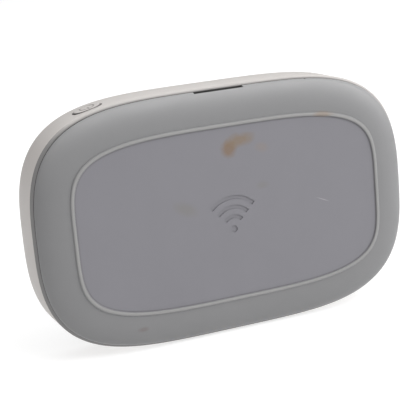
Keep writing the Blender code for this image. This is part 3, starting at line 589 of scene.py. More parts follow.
for spot in screw_places:
    place = through_case(spot.x, spot.z)
    combine(tray, rod("screw_hole", BORE_RADIUS, deck_low.y - 1 * MM, OVER, place=place))
    combine(tray, rod("counterbore", 2.0 * MM, DECK - 1.7 * MM, OVER, place=place))
reset_spot = (reset_low + reset_high) / 2
reset_place = through_case(reset_spot.x, reset_spot.z)
combine(tray, rod("reset_hole", 1.3 * MM, deck_low.y - 1 * MM, OVER, place=reset_place))
print("tray cut:", len(tray.data.polygons), "faces")

# %% Tray ribs
RIB_HALF, RIB_PITCH = 0.4 * MM, 12 * MM
RIB_SPAN = (5.0 * MM, 9.6 * MM)
SIDE_RIB_SPAN = (33 * MM, 46 * MM)
LIP = 0.6 * MM


def add_rib(name, low_x, high_x, low_z, high_z):
    low, high = (low_x, DECK - 0.5 * MM, low_z), (high_x, DECK + 0.35 * MM, high_z)
    combine(tray, box(name, low, high, 0.12 * MM, segments=1), "UNION")


for number in range(-2, 3):
    x = number * RIB_PITCH
    add_rib("rib", x - RIB_HALF, x + RIB_HALF, *RIB_SPAN)
for z in (MID_Z - 15 * MM, MID_Z - 11 * MM, MID_Z + 11 * MM):
    add_rib("side_rib", *SIDE_RIB_SPAN, z - RIB_HALF, z + RIB_HALF)
for level, edge in ((-1, battery_low.z - GAP), (1, battery_high.z + GAP)):
    spans = [(battery_low.x, battery_high.x)]
    if level > 0:
        spans = [(battery_low.x, finger_low[0] - GAP), (finger_high[0] + GAP, battery_high.x)]
    for near, far in spans:
        add_rib("lip", near, far, *sorted((edge + level * 0.05 * MM, edge + level * LIP)))
smooth(tray)
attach(tray, "housing")
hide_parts("rear_frame")
print("tray ribbed:", len(tray.data.polygons), "faces")

# %% [markdown]
# ## Battery
# A flat pouch cell in a hard wrap. Its edges are rounded, the label lies in a shallow step, and
# four contact pads sit in slots at one end, where the spring blades touch them. It is a box
# with box-shaped cuts. One blade is made, and the others are copies of it.

# %% Battery
battery = box("battery_block", battery_low, battery_high, 0.8 * MM, segments=5)
LABEL_END, LABEL_SIDE = 2.2 * MM, 1.6 * MM
step_low = (battery_low.x + LABEL_END, battery_high.y - 0.12 * MM, battery_low.z + LABEL_SIDE)
step_high = (battery_high.x - LABEL_END, battery_high.y + 1 * MM, battery_high.z - LABEL_SIDE)
combine(battery, box("label_step", step_low, step_high))
for number in range(1, 5):
    blade_low, blade_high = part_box(f"contact_blade_{number}")
    low = (battery_low.x - 1 * MM, blade_low.y - 0.25 * MM, blade_low.z - 0.35 * MM)
    high = (battery_low.x + 0.3 * MM, blade_high.y + 0.25 * MM, blade_high.z + 0.35 * MM)
    combine(battery, box("pad_slot", low, high))
for side in (-1, 1):
    place = Matrix.Translation((0.0, 0.0, MID_Z + side * (battery_high.z - MID_Z)))
    low, high = (-5 * MM, battery_high.y - 0.9 * MM, -0.6 * MM), (5 * MM, battery_high.y + 1 * MM, 0.6 * MM)
    combine(battery, box("nail_slot", low, high, 0.25 * MM, place=place))
smooth(battery)
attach(battery, "battery")
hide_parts("battery_pack")
print("battery made:", len(battery.data.polygons), "faces")


# %% Contact blades
def own_copy(piece, name, move):
    """A copy with its own mesh, shifted by a vector."""
    pick(piece)
    bpy.ops.object.duplicate(linked=False)
    other = name_new(name)
    bpy.ops.transform.translate(value=move)
    return settle(other)


first_low, first_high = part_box("contact_blade_1")
blade = box("blade_1", first_low, first_high, 0.35 * MM, segments=4)
blade_z = (first_low.z + first_high.z) / 2
groove_low = (first_high.x - 0.9 * MM, first_low.y - 1 * MM, blade_z - 0.08 * MM)
groove_high = (first_high.x + 1 * MM, first_high.y + 1 * MM, blade_z + 0.08 * MM)
combine(blade, box("groove", groove_low, groove_high))
blades = [blade]
for number in range(2, 5):
    blades.append(own_copy(blade, f"blade_{number}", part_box(f"contact_blade_{number}")[0] - first_low))
for number, piece in enumerate(blades, 1):
    smooth(piece)
    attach(piece, "housing")
    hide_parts(f"contact_blade_{number}")
print(len(blades), "contact blades")

# %% [markdown]
# ## Screws
# Six identical cross-head screws hold the tray. One is made, a rod with a bevelled head and a
# cross cut into it, and the others are copies with their own meshes.

# %% Screws
screw_low, screw_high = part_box("screw_1")
HEAD_RADIUS = (screw_high.x - screw_low.x) / 2
head = rod("screw_one", HEAD_RADIUS, screw_high.y - 1 * MM, screw_high.y, sides=40)
round_edges(head, 0.25 * MM)
combine(head, rod("shank", 0.8 * MM, screw_low.y, screw_high.y - 0.9 * MM, sides=24), "UNION")
CROSS = (0.95 * MM, 0.17 * MM)
CROSS_TURN = 0.4
for spin in (0.0, math.pi / 2):
    place = Matrix.Rotation(spin + CROSS_TURN, 4, "Z")
    combine(head, block("cross", CROSS, screw_high.y - 0.5 * MM, screw_high.y + 1 * MM, place=place))
put_in(head, through_case(screw_places[0].x, screw_places[0].z))
screws = [head]
for number, spot in enumerate(screw_places[1:], 2):
    shift = (spot.x - screw_places[0].x, 0.0, spot.z - screw_places[0].z)
    screws.append(own_copy(head, f"screw_piece_{number}", shift))
for number, piece in enumerate(screws, 1):
    smooth(piece)
    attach(piece, "housing")
    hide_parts(f"screw_{number}")
print(len(screws), "screws")

# %% [markdown]
# ## SIM socket, reset key and USB port
# The SIM socket is folded sheet steel: a box with a channel through it and spring windows
# punched in its roof. The card is a thin box whose upright edges are bevelled, with one corner
# cut off. The reset key is a short rod with a wider foot, and a sphere hollows its top. The USB
# shell is a rounded tube with a rolled mouth: a loft that goes up outside and back down inside.

# %% SIM socket
cage = box("sim_cage", socket_low, socket_high, 0.12 * MM, segments=2)
SHEET = 0.3 * MM
channel_low = (socket_low.x - 1 * MM, socket_low.y + SHEET, socket_low.z + SHEET)
channel_high = (socket_high.x - 0.9 * MM, socket_high.y - SHEET, socket_high.z - SHEET)
combine(cage, box("channel", channel_low, channel_high))
SPRING_Z = 3.2 * MM
WINDOW_SPAN, WINDOW_HALF = (34 * MM, 42 * MM), 1.1 * MM
SPRING_SPAN, SPRING_HALF = (33.8 * MM, 41 * MM), 0.6 * MM
middle_z = (socket_low.z + socket_high.z) / 2
for z in (middle_z - SPRING_Z, middle_z + SPRING_Z):
    low = (WINDOW_SPAN[0], socket_high.y - 0.5 * MM, z - WINDOW_HALF)
    combine(cage, box("spring_window", low, (WINDOW_SPAN[1], OVER, z + WINDOW_HALF)))
    low = (SPRING_SPAN[0], socket_high.y - 0.28 * MM, z - SPRING_HALF)
    high = (SPRING_SPAN[1], socket_high.y - 0.02 * MM, z + SPRING_HALF)
    combine(cage, box("spring", low, high), "UNION")
smooth(cage)
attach(cage, "housing")
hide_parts("sim_socket")
print("sim socket finished:", len(cage.data.polygons), "faces")

# %% SIM card
card_low, card_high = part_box("sim_card")
card = box("sim_chip_card", card_low, card_high)
enter_edit(card, "DESELECT")
bpy.ops.mesh.select_mode(type="EDGE")
leave_edit()
for edge in card.data.edges:
    ends = [card.data.vertices[index].co for index in edge.vertices]
    edge.select = abs(ends[0].y - ends[1].y) > 0.5 * MM
bpy.ops.object.mode_set(mode="EDIT")
bpy.ops.mesh.bevel(offset=1.0 * MM, segments=5, affect="EDGES")
leave_edit()
corner_place = Matrix.Translation((card_high.x - 1 * MM, card_low.y, card_low.z + 1 * MM))
corner_place @= Matrix.Rotation(math.radians(-45), 4, "Y")
combine(card, block("cut_corner", (2 * MM, 2 * MM), -2 * MM, 0.0, place=corner_place))
smooth(card)
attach(card, "sim")
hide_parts("sim_card")
print("sim card finished:", len(card.data.polygons), "faces")

# %% Reset key
DISH_RADIUS, DISH_DEPTH = 2.2 * MM, 0.15 * MM
reset_key = rod("reset_stem", 1.0 * MM, reset_low.y, reset_high.y, sides=40)
round_edges(reset_key, 0.15 * MM)
combine(reset_key, rod("stem_foot", 1.6 * MM, reset_low.y, reset_low.y + 0.3 * MM, sides=40), "UNION")
bpy.ops.object.select_all(action="DESELECT")
dish_spot = (0.0, 0.0, reset_high.y + DISH_RADIUS - DISH_DEPTH)
bpy.ops.mesh.primitive_uv_sphere_add(segments=32, ring_count=16, radius=DISH_RADIUS, location=dish_spot)
combine(reset_key, settle(name_new("dish")))
put_in(reset_key, reset_place)
smooth(reset_key)
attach(reset_key, "reset_key")
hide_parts("reset_button")
print("reset key finished:", len(reset_key.data.polygons), "faces")

# %% USB shell and tongue
USB_MOUTH, USB_END = -1.2 * MM, -6.8 * MM
outer = (3.75 * MM, 1.3 * MM, 6.0, 3.4)
inner = (3.4 * MM, 0.95 * MM, 6.0, 3.4)
shell_rings = [
    (outer, 0.0, USB_END),
    (outer, 0.0, USB_MOUTH - 0.1 * MM),
    (outer, 0.05 * MM, USB_MOUTH),
    (inner, -0.1 * MM, USB_MOUTH),
    (inner, 0.0, USB_MOUTH - 0.15 * MM),
    (inner, 0.0, USB_END + 0.5 * MM),
]
usb_shell = loft("usb_shell", shell_rings, steps=96, centre=0.0)
put_in(usb_shell, USB_FRAME @ UPRIGHT)
smooth(usb_shell)
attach(usb_shell, "housing")
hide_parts("usb_socket")
tongue_low = (-2.5 * MM, -0.35 * MM, USB_END + 0.8 * MM)
tongue_high = (2.5 * MM, 0.0, USB_MOUTH - 0.6 * MM)
tongue = box("usb_blade", tongue_low, tongue_high, 0.08 * MM, place=USB_FRAME)
PIN_PITCH, PIN_HALF = 0.8 * MM, 0.12 * MM
PIN_FOOT, PIN_TOP = -5.5 * MM, -1.95 * MM
for number in range(-2, 3):
    x = number * PIN_PITCH
    low, high = (x - PIN_HALF, -0.5 * MM, PIN_FOOT), (x + PIN_HALF, -0.28 * MM, PIN_TOP)
    combine(tongue, box("pin_groove", low, high, place=USB_FRAME))
smooth(tongue)
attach(tongue, "housing")
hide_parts("usb_tongue")
print("USB shell and tongue:", len(usb_shell.data.polygons), "and", len(tongue.data.polygons), "faces")

# %% [markdown]
# ## Antenna flaps
# Two soft rubber flaps close the external antenna ports. Each is a rounded tile, with a nail
# notch at its free end, a fold line near its hinge and a short hollow plug behind that presses
# into the port. One function makes both, mirrored by their side.


# %% Antenna flaps
PLUG_RADIUS, HOLLOW_RADIUS = 1.35 * MM, 0.8 * MM
NAIL_RUN, NAIL_HALF, FOLD_HALF = 1.1 * MM, 1.3 * MM, 0.15 * MM


def make_flap(name, node, side, body):
    half_length, half_width = FLAP_LENGTH / 2, FLAP_WIDTH / 2
    flap = block(name, (half_length, half_width), -FLAP_THICK, 0.0, 0.4 * MM, segments=5)
    plug = rod("plug", PLUG_RADIUS, -FLAP_THICK - 0.75 * MM, -FLAP_THICK / 2, sides=40)
    combine(flap, plug, "UNION")
    combine(flap, rod("plug_hollow", HOLLOW_RADIUS, -FLAP_THICK - 1.75 * MM, -FLAP_THICK))
    free = side * half_length
    ends = sorted((free - side * NAIL_RUN, free + side * 1 * MM))
    low, high = (ends[0], -NAIL_HALF, -0.35 * MM), (ends[1], NAIL_HALF, 1 * MM)
    combine(flap, box("nail_notch", low, high, 0.15 * MM))
    hinge = -side * (half_length - 1.1 * MM)
    low, high = (hinge - FOLD_HALF, -3 * MM, -0.2 * MM), (hinge + FOLD_HALF, 3 * MM, 1 * MM)
    combine(flap, box("fold_line", low, high))
    put_in(flap, FLAP_FRAMES[side])
    smooth(flap)
    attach(flap, body)
    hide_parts(node)
    return flap


flaps = [
    make_flap("flap_left", "antenna_cap_left", -1, "cap_left"),
    make_flap("flap_right", "antenna_cap_right", 1, "cap_right"),
]
print(len(flaps), "antenna flaps")

# %% [markdown]
# ## Writing materials as sums
# A material is a tree of nodes, which is tedious to wire by hand. The first class below wraps
# one output of a node, so that ordinary arithmetic on it adds Math nodes. The second holds a
# material and makes every other node from its type, its settings and its inputs.


# %% Node helpers
class Wire:
    """One output of a node. Arithmetic on it adds Math nodes to the same material."""

    def __init__(self, finish, socket):
        self.finish = finish
        self.socket = socket

    def math(self, operation, *inputs):
        return self.finish.node("ShaderNodeMath", {"operation": operation}, dict(enumerate(inputs)))

    def __add__(self, other):
        return self.math("ADD", self, other)

    def __sub__(self, other):
        return self.math("SUBTRACT", self, other)

    def __rsub__(self, other):
        return self.math("SUBTRACT", other, self)

    def __mul__(self, other):
        return self.math("MULTIPLY", self, other)

    def __truediv__(self, other):
        return self.math("DIVIDE", self, other)

    def __pow__(self, other):
        return self.math("POWER", self, other)

    def __gt__(self, other):
        return self.math("GREATER_THAN", self, other)

    def __lt__(self, other):
        return self.math("LESS_THAN", self, other)

    def __abs__(self):
        return self.math("ABSOLUTE", self)

    __radd__ = __add__
    __rmul__ = __mul__


class Finish:
    """A material, and the tree of nodes behind its Principled shader."""

    def __init__(self, name):
        self.material = bpy.data.materials.new(name)
        self.material.use_nodes = True
        self.tree = self.material.node_tree
        self.shader = self.tree.nodes["Principled BSDF"]
        self.place = self.node("ShaderNodeTexCoord", output="Object")
        self.x, self.y, self.z = (
            self.node("ShaderNodeSeparateXYZ", inputs={0: self.place}, output=axis) for axis in "XYZ"
        )

    def node(self, kind, settings=None, inputs=None, output=0):
        made = self.tree.nodes.new(kind)
        for name, value in (settings or {}).items():
            if name == "stops":
                self.set_stops(made.color_ramp, value)
            else:
                setattr(made, name, value)
        for name, value in (inputs or {}).items():
            self.feed(made.inputs[name], value)
        return Wire(self, made.outputs[output])

    def set_stops(self, ramp, stops):
        while len(ramp.elements) < len(stops):
            ramp.elements.new(0.5)
        for element, (position, level) in zip(ramp.elements, stops):
            element.position = position
            element.color = (level, level, level, 1.0)

    def feed(self, socket, value):
        if isinstance(value, Wire):
            self.tree.links.new(value.socket, socket)
        else:
            socket.default_value = value

    def set(self, **inputs):
        for name, value in inputs.items():
            self.feed(self.shader.inputs[name.replace("_", " ").title()], value)

    def noise(self, scale, detail=2.0, roughness=0.5, stretch=None):
        inputs = {"Scale": scale, "Detail": detail, "Roughness": roughness, "Vector": self.place}
        if stretch:
            mapping = {"Vector": self.place, "Scale": stretch}
            inputs["Vector"] = self.node("ShaderNodeMapping", inputs=mapping)
        return self.node("ShaderNodeTexNoise", inputs=inputs)

    def ramp(self, value, *stops):
        return self.node("ShaderNodeValToRGB", {"stops": stops}, {0: value})

    def fade(self, value, start, end):
        """A straight change from 0 at the start to 1 at the end."""
        inputs = {"Value": value, "From Min": start, "From Max": end}
        return self.node("ShaderNodeMapRange", inputs=inputs)

    def mix(self, mask, first, second):
        """Two colours, mixed by a mask; the node's colour sockets are its inputs 6 and 7."""
        return self.node("ShaderNodeMix", {"data_type": "RGBA"}, {0: mask, 6: first, 7: second}, output=2)

    def shade(self, colour, factor):
        """A colour made lighter or darker by a factor near 1."""
        grey = self.node("ShaderNodeCombineXYZ", inputs={0: factor, 1: factor, 2: factor})
        settings = {"operation": "MULTIPLY"}
        return self.node("ShaderNodeVectorMath", settings, {0: colour, 1: grey})

    def bump(self, height, distance, strength=1.0):
        inputs = {"Height": height, "Distance": distance, "Strength": strength}
        return self.node("ShaderNodeBump", inputs=inputs, output="Normal")

    def blob(self, x, z, half_length, half_width, angle=0.0, ragged=0.35, scale=420.0):
        """A soft-edged spot on the back, in metres from the case's centre, for a stain."""
        turn = math.radians(angle)
        over_x, over_z = self.x - x, self.z - (MID_Z + z)
        along = (over_x * math.cos(turn) + over_z * math.sin(turn)) / half_length
        across = (over_z * math.cos(turn) - over_x * math.sin(turn)) / half_width
        far = (along**2 + across**2) ** 0.5 + (self.noise(scale, 4.0, 0.6) - 0.5) * (2 * ragged)
        return self.ramp(far, (0.35, 1.0), (1.0, 0.0))


def rgb(red, green, blue):
    """A colour given as it looks on a screen, from 0 to 255, turned into linear light."""
    return tuple((level / 255) ** 2.2 for level in (red, green, blue)) + (1.0,)


print("node helpers ready")

# %% [markdown]
# ## Case plastics
# The band is a light satin plastic with a faint moulded grain. Painted shade darkens its
# chamfer towards the seam, more at its +X end and along its bottom, and also its seam edge, its
# +X end, the gap round the key, the key's near wall and the key's engraving. The cover is a darker
# grey with a soft-touch feel: fine grain, a little sheen, smudges that shine more, a painted
# highlight along the top of the flank, a painted highlight on the raised ring's crest with
# painted shade at its inner foot, a bluish pad inside the raised ring, and a few old stains.
# Masks for all of these are plain formulas in object coordinates, which are metres in the
# shared frame.


# %% Band plastic
def band_plastic():
    finish = Finish("band_plastic")
    grain = finish.noise(5200.0, 3.0, 0.6)
    cloud = finish.noise(95.0, 4.0, 0.55)
    scuff = finish.ramp(finish.noise(700.0, 5.0, 0.65, (1.0, 3.0, 0.35)), (0.6, 0.0), (0.74, 1.0))
    colour = finish.mix(cloud, rgb(195, 191, 188), rgb(187, 183, 180))
    colour = finish.mix(scuff * 0.25, colour, rgb(176, 172, 168))
    strip_start = band_high.y - CHAMFER
    at_end = finish.fade(finish.x, HALF_X - 14 * MM, HALF_X - 6 * MM)
    below = finish.z < MID_Z - 18 * MM
    on_strip = finish.y > strip_start
    # Painted shade: the chamfer is painted darker towards the seam, where the gap under the cover shades
    # it.
    strip = finish.fade(finish.y, strip_start + 0.2 * MM, band_high.y) * 0.75 + on_strip * 0.2
    # Painted shade: the chamfer is painted darker still at the +X end and along the bottom.
    shaded_strip = on_strip * (at_end + below)
    # Painted shade: the +X end of the band, turned away from the lights, is painted darker.
    colour = finish.mix(at_end * 0.45, colour, rgb(176, 171, 168))
    # Painted shade: the band's seam edge and back face are painted near black, for the shade in the gap
    # under the cover.
    lip = finish.y > band_high.y - 0.02 * MM
    colour = finish.mix(strip, colour, rgb(90, 88, 87))
    colour = finish.mix(shaded_strip, colour, rgb(116, 115, 115))
    colour = finish.mix(lip, colour, rgb(44, 43, 43))
    key_out = KEY_FRAME.to_3x3().col[2]
    key_spot = KEY_FRAME.translation
    over_x, over_z = finish.x - key_spot.x, finish.z - key_spot.z
    depth = over_x * key_out.x + over_z * key_out.z
    along = over_x * key_out.z - over_z * key_out.x
    across = finish.y - key_spot.y
    top_side = finish.z > MID_Z
    edge_curve = 12.5  # the band falls away from the key by this times the distance squared
    key_level = (abs(along) / KEY_HALF[0]) ** KEY_POWER + (abs(across) / KEY_HALF[1]) ** KEY_POWER
    curved_depth = depth + along**2 * edge_curve
    # Painted shade: masks for the walls of the gap round the key, the key's near wall and its engraved
    # symbol.
    gap_wall = (curved_depth < -0.06 * MM) * (key_level < 1.7) * top_side
    near_wall = (key_level > 0.86) * (key_level < 1.03) * (across > -0.4 * MM) * top_side
    engraved = (depth < KEY_TOP - 0.08 * MM) * (key_level < 0.6) * top_side
    # Painted shade is laid on the gap walls, the key's near wall and the engraving.
    colour = finish.mix(gap_wall, colour, rgb(52, 50, 50))
    colour = finish.mix(near_wall * 0.8, colour, rgb(60, 58, 58))
    colour = finish.mix(engraved * 0.6, colour, rgb(92, 90, 89))
    finish.set(
        base_color=colour,
        roughness=0.42 + cloud * 0.12 + grain * 0.06 - scuff * 0.08,
        normal=finish.bump(grain, 0.02 * MM, 0.5),
    )
    return finish.material


# %% Cover plastic
def cover_plastic():
    finish = Finish("cover_plastic")
    grain = finish.noise(4200.0, 4.0, 0.65)
    cloud = finish.noise(60.0, 4.0, 0.6)
    smudge = finish.ramp(finish.noise(130.0, 5.0, 0.62), (0.42, 0.0), (0.66, 1.0))
    half_x, half_z, power_x, power_z = RING
    part_x = abs(finish.x) / half_x
    part_z = abs(finish.z - MID_Z) / half_z
    slope_x = part_x ** (power_x - 1) * (power_x / half_x)
    slope_z = part_z ** (power_z - 1) * (power_z / half_z)
    inside = (1 - part_x**power_x - part_z**power_z) / (slope_x**2 + slope_z**2) ** 0.5
    pad = inside > RING_HALF
    crest = finish.ramp(abs(inside) * 1000, (0.2, 1.0), (0.5, 0.0))
    foot = finish.ramp(abs(inside - RING_HALF - 0.12 * MM) * 1000, (0.1, 1.0), (0.4, 0.0))
    colour = finish.mix(pad, rgb(117, 117, 118), rgb(115, 114, 119))
    colour = finish.shade(colour, 0.965 + cloud * 0.07)
    # Painted highlight: the top of the flank near the rim is painted lighter, where it faces the light from
    # above.
    rim = finish.fade(finish.y, BACK, COVER_RIM + 1.2 * MM)
    upper = finish.fade(finish.z, MID_Z + 12 * MM, 2 * MID_Z)
    colour = finish.mix(rim * upper * 0.5, colour, rgb(158, 158, 158))
    # Painted highlight on the raised ring's crest, and painted shade in the crease at its inner foot.
    colour = finish.mix(crest * 0.5, colour, rgb(150, 149, 147))
    colour = finish.mix(foot * 0.35, colour, rgb(86, 85, 86))
    speck = finish.ramp(finish.noise(1500.0, 3.0, 0.6), (0.68, 0.0), (0.76, 1.0))
    colour = finish.mix(speck * 0.12, colour, rgb(110, 106, 102))
    scratch = finish.ramp(finish.noise(420.0, 3.0, 0.5, (1.0, 1.0, 0.04)), (0.7, 0.0), (0.74, 1.0))
    region = finish.blob(-24.5 * MM, 0.0, 5 * MM, 9 * MM)
    colour = finish.mix(scratch * region * 0.3, colour, rgb(176, 174, 176))
    stains = (
        (finish.blob(-0.3 * MM, 17.2 * MM, 2.5 * MM, 2.8 * MM), 0.7, rgb(112, 88, 62)),
        (finish.blob(-3.6 * MM, 19.1 * MM, 5.2 * MM, 2.2 * MM, -4.0), 0.62, rgb(116, 96, 70)),
        (finish.blob(-9.8 * MM, 16.3 * MM, 2.6 * MM, 1.6 * MM, 20.0), 0.2, rgb(132, 110, 86)),
        (finish.blob(13.2 * MM, 3.0 * MM, 4.4 * MM, 2.2 * MM, 28.0), 0.3, rgb(108, 104, 94)),
        (finish.blob(-9.2 * MM, 6.0 * MM, 2.2 * MM, 1.3 * MM), 0.25, rgb(108, 104, 94)),
        (finish.blob(-28.3 * MM, 22.5 * MM, 3.6 * MM, 1.0 * MM, 5.0), 0.4, rgb(128, 104, 80)),
        (finish.blob(-26.8 * MM, -0.9 * MM, 2.4 * MM, 0.16 * MM, 24.0, 0.1), 0.5, rgb(168, 166, 167)),
        (finish.blob(28.0 * MM, -27.0 * MM, 1.8 * MM, 0.9 * MM), 0.4, rgb(100, 84, 82)),
    )
    for mask, strength, tone in stains:
        colour = finish.mix(mask * strength, colour, tone)
    finish.set(
        base_color=colour,
        roughness=0.5 + grain * 0.08 - smudge * 0.1 + cloud * 0.04,
        normal=finish.bump(grain, 0.025 * MM, 0.6),
        sheen_weight=0.4,
        sheen_roughness=0.3,
    )
    return finish.material


print("case plastics ready")

# %% [markdown]
# ## Glass, black parts and rubber
# The front glass is black: its print hides all but the display, which shows as a slightly
# greyer rectangle, and finger marks change only how sharply it reflects. The black mouldings
# have a fine spark-eroded grain, and rubber is matt with a little dust.


# %% Lens glass
LIGHT_X = (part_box("light_pipe")[0].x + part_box("light_pipe")[1].x) / 2


def lens_glass():
    finish = Finish("lens_glass")
    smear = finish.ramp(finish.noise(70.0, 4.0, 0.6, (1.0, 1.0, 2.2)), (0.45, 0.0), (0.7, 1.0))
    fine = finish.ramp(finish.noise(900.0, 3.0, 0.6), (0.62, 0.0), (0.72, 1.0))
    inside_x = abs(finish.x) < window_high[0]
    inside_z = abs(finish.z - MID_Z) < window_high[2] - MID_Z
    lamp = ((finish.x - LIGHT_X) ** 2 + (finish.z - MID_Z) ** 2) ** 0.5 < 0.9 * MM
    cloud = finish.noise(40.0, 2.0)
    panel = finish.mix(cloud, rgb(22, 24, 29), rgb(27, 29, 34))
    colour = finish.mix(inside_x * inside_z, rgb(9, 9, 11), panel)
    colour = finish.mix(lamp, colour, rgb(58, 60, 64))
    finish.set(base_color=colour, roughness=0.05 + smear * 0.1 + fine * 0.04)
    return finish.material


# %% Black mouldings
def moulded_plastic(name, dark, light, roughness):
    finish = Finish(name)
    grain = finish.noise(3600.0, 3.0, 0.6)
    flow = finish.noise(120.0, 3.0, 0.5, (1.0, 2.0, 0.5))
    rub = finish.ramp(finish.noise(600.0, 4.0, 0.6), (0.6, 0.0), (0.72, 1.0))
    colour = finish.mix(flow, dark, light)
    finish.set(
        base_color=finish.shade(colour, 0.9 + grain * 0.2),
        roughness=roughness + grain * 0.12 - rub * 0.1,
        normal=finish.bump(grain, 0.03 * MM, 0.7),
    )
    return finish.material


# %% Rubber
def cap_rubber():
    finish = Finish("cap_rubber")
    grain = finish.noise(6500.0, 4.0, 0.7)
    dust = finish.ramp(finish.noise(800.0, 4.0, 0.65), (0.55, 0.0), (0.75, 1.0))
    colour = finish.mix(finish.noise(200.0, 3.0), rgb(172, 170, 168), rgb(160, 158, 155))
    colour = finish.mix(dust * 0.3, colour, rgb(196, 193, 188))
    normal = finish.bump(grain, 0.03 * MM, 0.8)
    finish.set(base_color=colour, roughness=0.72 + grain * 0.12, normal=normal)
    return finish.material


print("glass, black and rubber ready")

# %% [markdown]
# ## Battery label
# The wrap is dark satin film, and the label, inside its shallow step, is a plain light film
# with a thin printed frame and two plain bands. The contact pads in the end slots are gold.


# %% Battery wrap
def battery_wrap():
    finish = Finish("battery_wrap")
    fibre = finish.noise(1400.0, 4.0, 0.6, (0.3, 1.0, 1.0))
    crease = finish.noise(180.0, 4.0, 0.6)
    middle_x = (battery_low.x + battery_high.x) / 2
    from_x = abs(finish.x - middle_x)
    from_z = abs(finish.z - MID_Z)
    half_x = (step_high[0] - step_low[0]) / 2
    half_z = (step_high[2] - step_low[2]) / 2
    label = (from_x < half_x) * (from_z < half_z) * (finish.y > battery_high.y - 0.3 * MM)
    frame_line = 1 - (from_x < half_x - 1.6 * MM) * (from_z < half_z - 1.6 * MM)
    frame_line = frame_line * (from_x < half_x - 1.2 * MM) * (from_z < half_z - 1.2 * MM)
    upper_band = abs(finish.z - MID_Z - 12 * MM) < 2.4 * MM
    lower_band = abs(finish.z - MID_Z + 13 * MM) < 0.5 * MM
    inner = (from_x < half_x - 4 * MM) * 1.0
    film = finish.mix(crease, rgb(196, 197, 198), rgb(187, 188, 190))
    film = finish.mix(frame_line * 0.9, film, rgb(70, 72, 76))
    film = finish.mix(upper_band * inner * 0.9, film, rgb(92, 104, 118))
    film = finish.mix(lower_band * inner * 0.9, film, rgb(92, 104, 118))
    wrap = finish.mix(fibre, rgb(44, 45, 48), rgb(56, 57, 60))
    gold = finish.x < battery_low.x + 0.32 * MM
    gold = gold * (finish.x > battery_low.x + 0.2 * MM)
    colour = finish.mix(label, wrap, film)
    colour = finish.mix(gold, colour, rgb(214, 176, 104))
    finish.set(
        base_color=colour,
        metallic=gold,
        roughness=0.44 + fibre * 0.1 - label * 0.08,
        normal=finish.bump(fibre + crease * 2.0, 0.03 * MM, 0.5),
    )
    return finish.material


print("battery label ready")

# %% [markdown]
# ## Metals
# Sheet steel shows fine rolling lines and a few dull prints. Gold plate is warmer and a little
# uneven, and the screws are blackened steel that has worn bright where a driver turned them.


# %% Metals
def metal(name, dark, light, roughness, lines):
    finish = Finish(name)
    rolled = finish.noise(1800.0, 4.0, 0.6, lines)
    prints = finish.ramp(finish.noise(260.0, 4.0, 0.6), (0.45, 0.0), (0.7, 1.0))
    finish.set(
        base_color=finish.mix(rolled, dark, light),
        metallic=1.0,
        roughness=roughness + rolled * 0.12 + prints * 0.12,
        normal=finish.bump(rolled, 0.01 * MM, 0.5),
    )
    return finish.material


def screw_steel():
    finish = Finish("screw_steel")
    grain = finish.noise(2600.0, 4.0, 0.6)
    worn = finish.ramp(finish.noise(1500.0, 4.0, 0.6), (0.52, 0.0), (0.66, 1.0))
    head = finish.y > screw_high.y - 0.2 * MM
    colour = finish.mix(worn * head * 0.7, rgb(58, 58, 62), rgb(168, 166, 162))
    normal = finish.bump(grain, 0.01 * MM, 0.5)
    finish.set(base_color=colour, metallic=1.0, roughness=0.34 + grain * 0.14, normal=normal)
    return finish.material


print("metals ready")

# %% [markdown]
# ## Inside parts
# What lies deeper is seen only when the device is taken apart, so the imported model's own
# solids stay, and each takes a finish of its own: solder mask with buried tracks, amber film,
# graphite sheet, frosted resin and the display's glass. The SIM card, which has a new piece,
# is white plastic with a gold chip.


# %% Board resin
def board_resin():
    finish = Finish("board_resin")
    threads = {"Color1": (1, 1, 1, 1), "Color2": (0.8, 0.8, 0.8, 1), "Mortar Size": 0.03}
    weave = finish.node(
        "ShaderNodeTexBrick", {"offset": 0.5}, {"Vector": finish.place, "Scale": 900.0, **threads}
    )
    track_x = finish.node("ShaderNodeMath", {"operation": "SINE"}, {0: finish.x * 5200.0})
    track_z = finish.node("ShaderNodeMath", {"operation": "SINE"}, {0: finish.z * 4300.0})
    regions = finish.noise(110.0, 1.0)
    tracks = (track_x > 0.6) * (regions > 0.52) + (track_z > 0.7) * (regions < 0.46)
    pads = finish.ramp(finish.noise(1300.0, 0.0), (0.72, 0.0), (0.74, 1.0))
    colour = finish.mix(tracks * 0.7, rgb(16, 74, 50), rgb(30, 104, 70))
    colour = finish.mix(pads, colour, rgb(206, 172, 96))
    finish.set(
        base_color=colour,
        metallic=pads,
        roughness=0.38 + regions * 0.14,
        normal=finish.bump(tracks + weave * 0.2, 0.02 * MM, 0.6),
    )
    return finish.material


# %% Films and resin
def thin_film(name, dark, light, roughness, shine=0.0):
    finish = Finish(name)
    wave = finish.noise(150.0, 3.0, 0.55)
    fine = finish.noise(2400.0, 3.0, 0.6, (1.0, 1.0, 0.2))
    finish.set(
        base_color=finish.mix(fine, dark, light),
        metallic=shine,
        roughness=roughness + wave * 0.15,
        normal=finish.bump(wave * 3.0 + fine, 0.02 * MM, 0.5),
    )
    return finish.material


def display_panel():
    finish = Finish("display_panel")
    cell_x = finish.node("ShaderNodeMath", {"operation": "SINE"}, {0: finish.x * 40000.0})
    cell_z = finish.node("ShaderNodeMath", {"operation": "SINE"}, {0: finish.z * 40000.0})
    haze = finish.noise(50.0, 3.0)
    edge = 1 - (abs(finish.x) < window_high[0]) * (abs(finish.z - MID_Z) < window_high[2] - MID_Z)
    colour = finish.mix(haze, rgb(34, 38, 46), rgb(44, 48, 58))
    colour = finish.mix((cell_x + cell_z) * 0.1 + 0.1, colour, rgb(60, 66, 78))
    colour = finish.mix(edge, colour, rgb(150, 150, 152))
    finish.set(base_color=colour, roughness=0.14 + haze * 0.1 + edge * 0.2)
    return finish.material


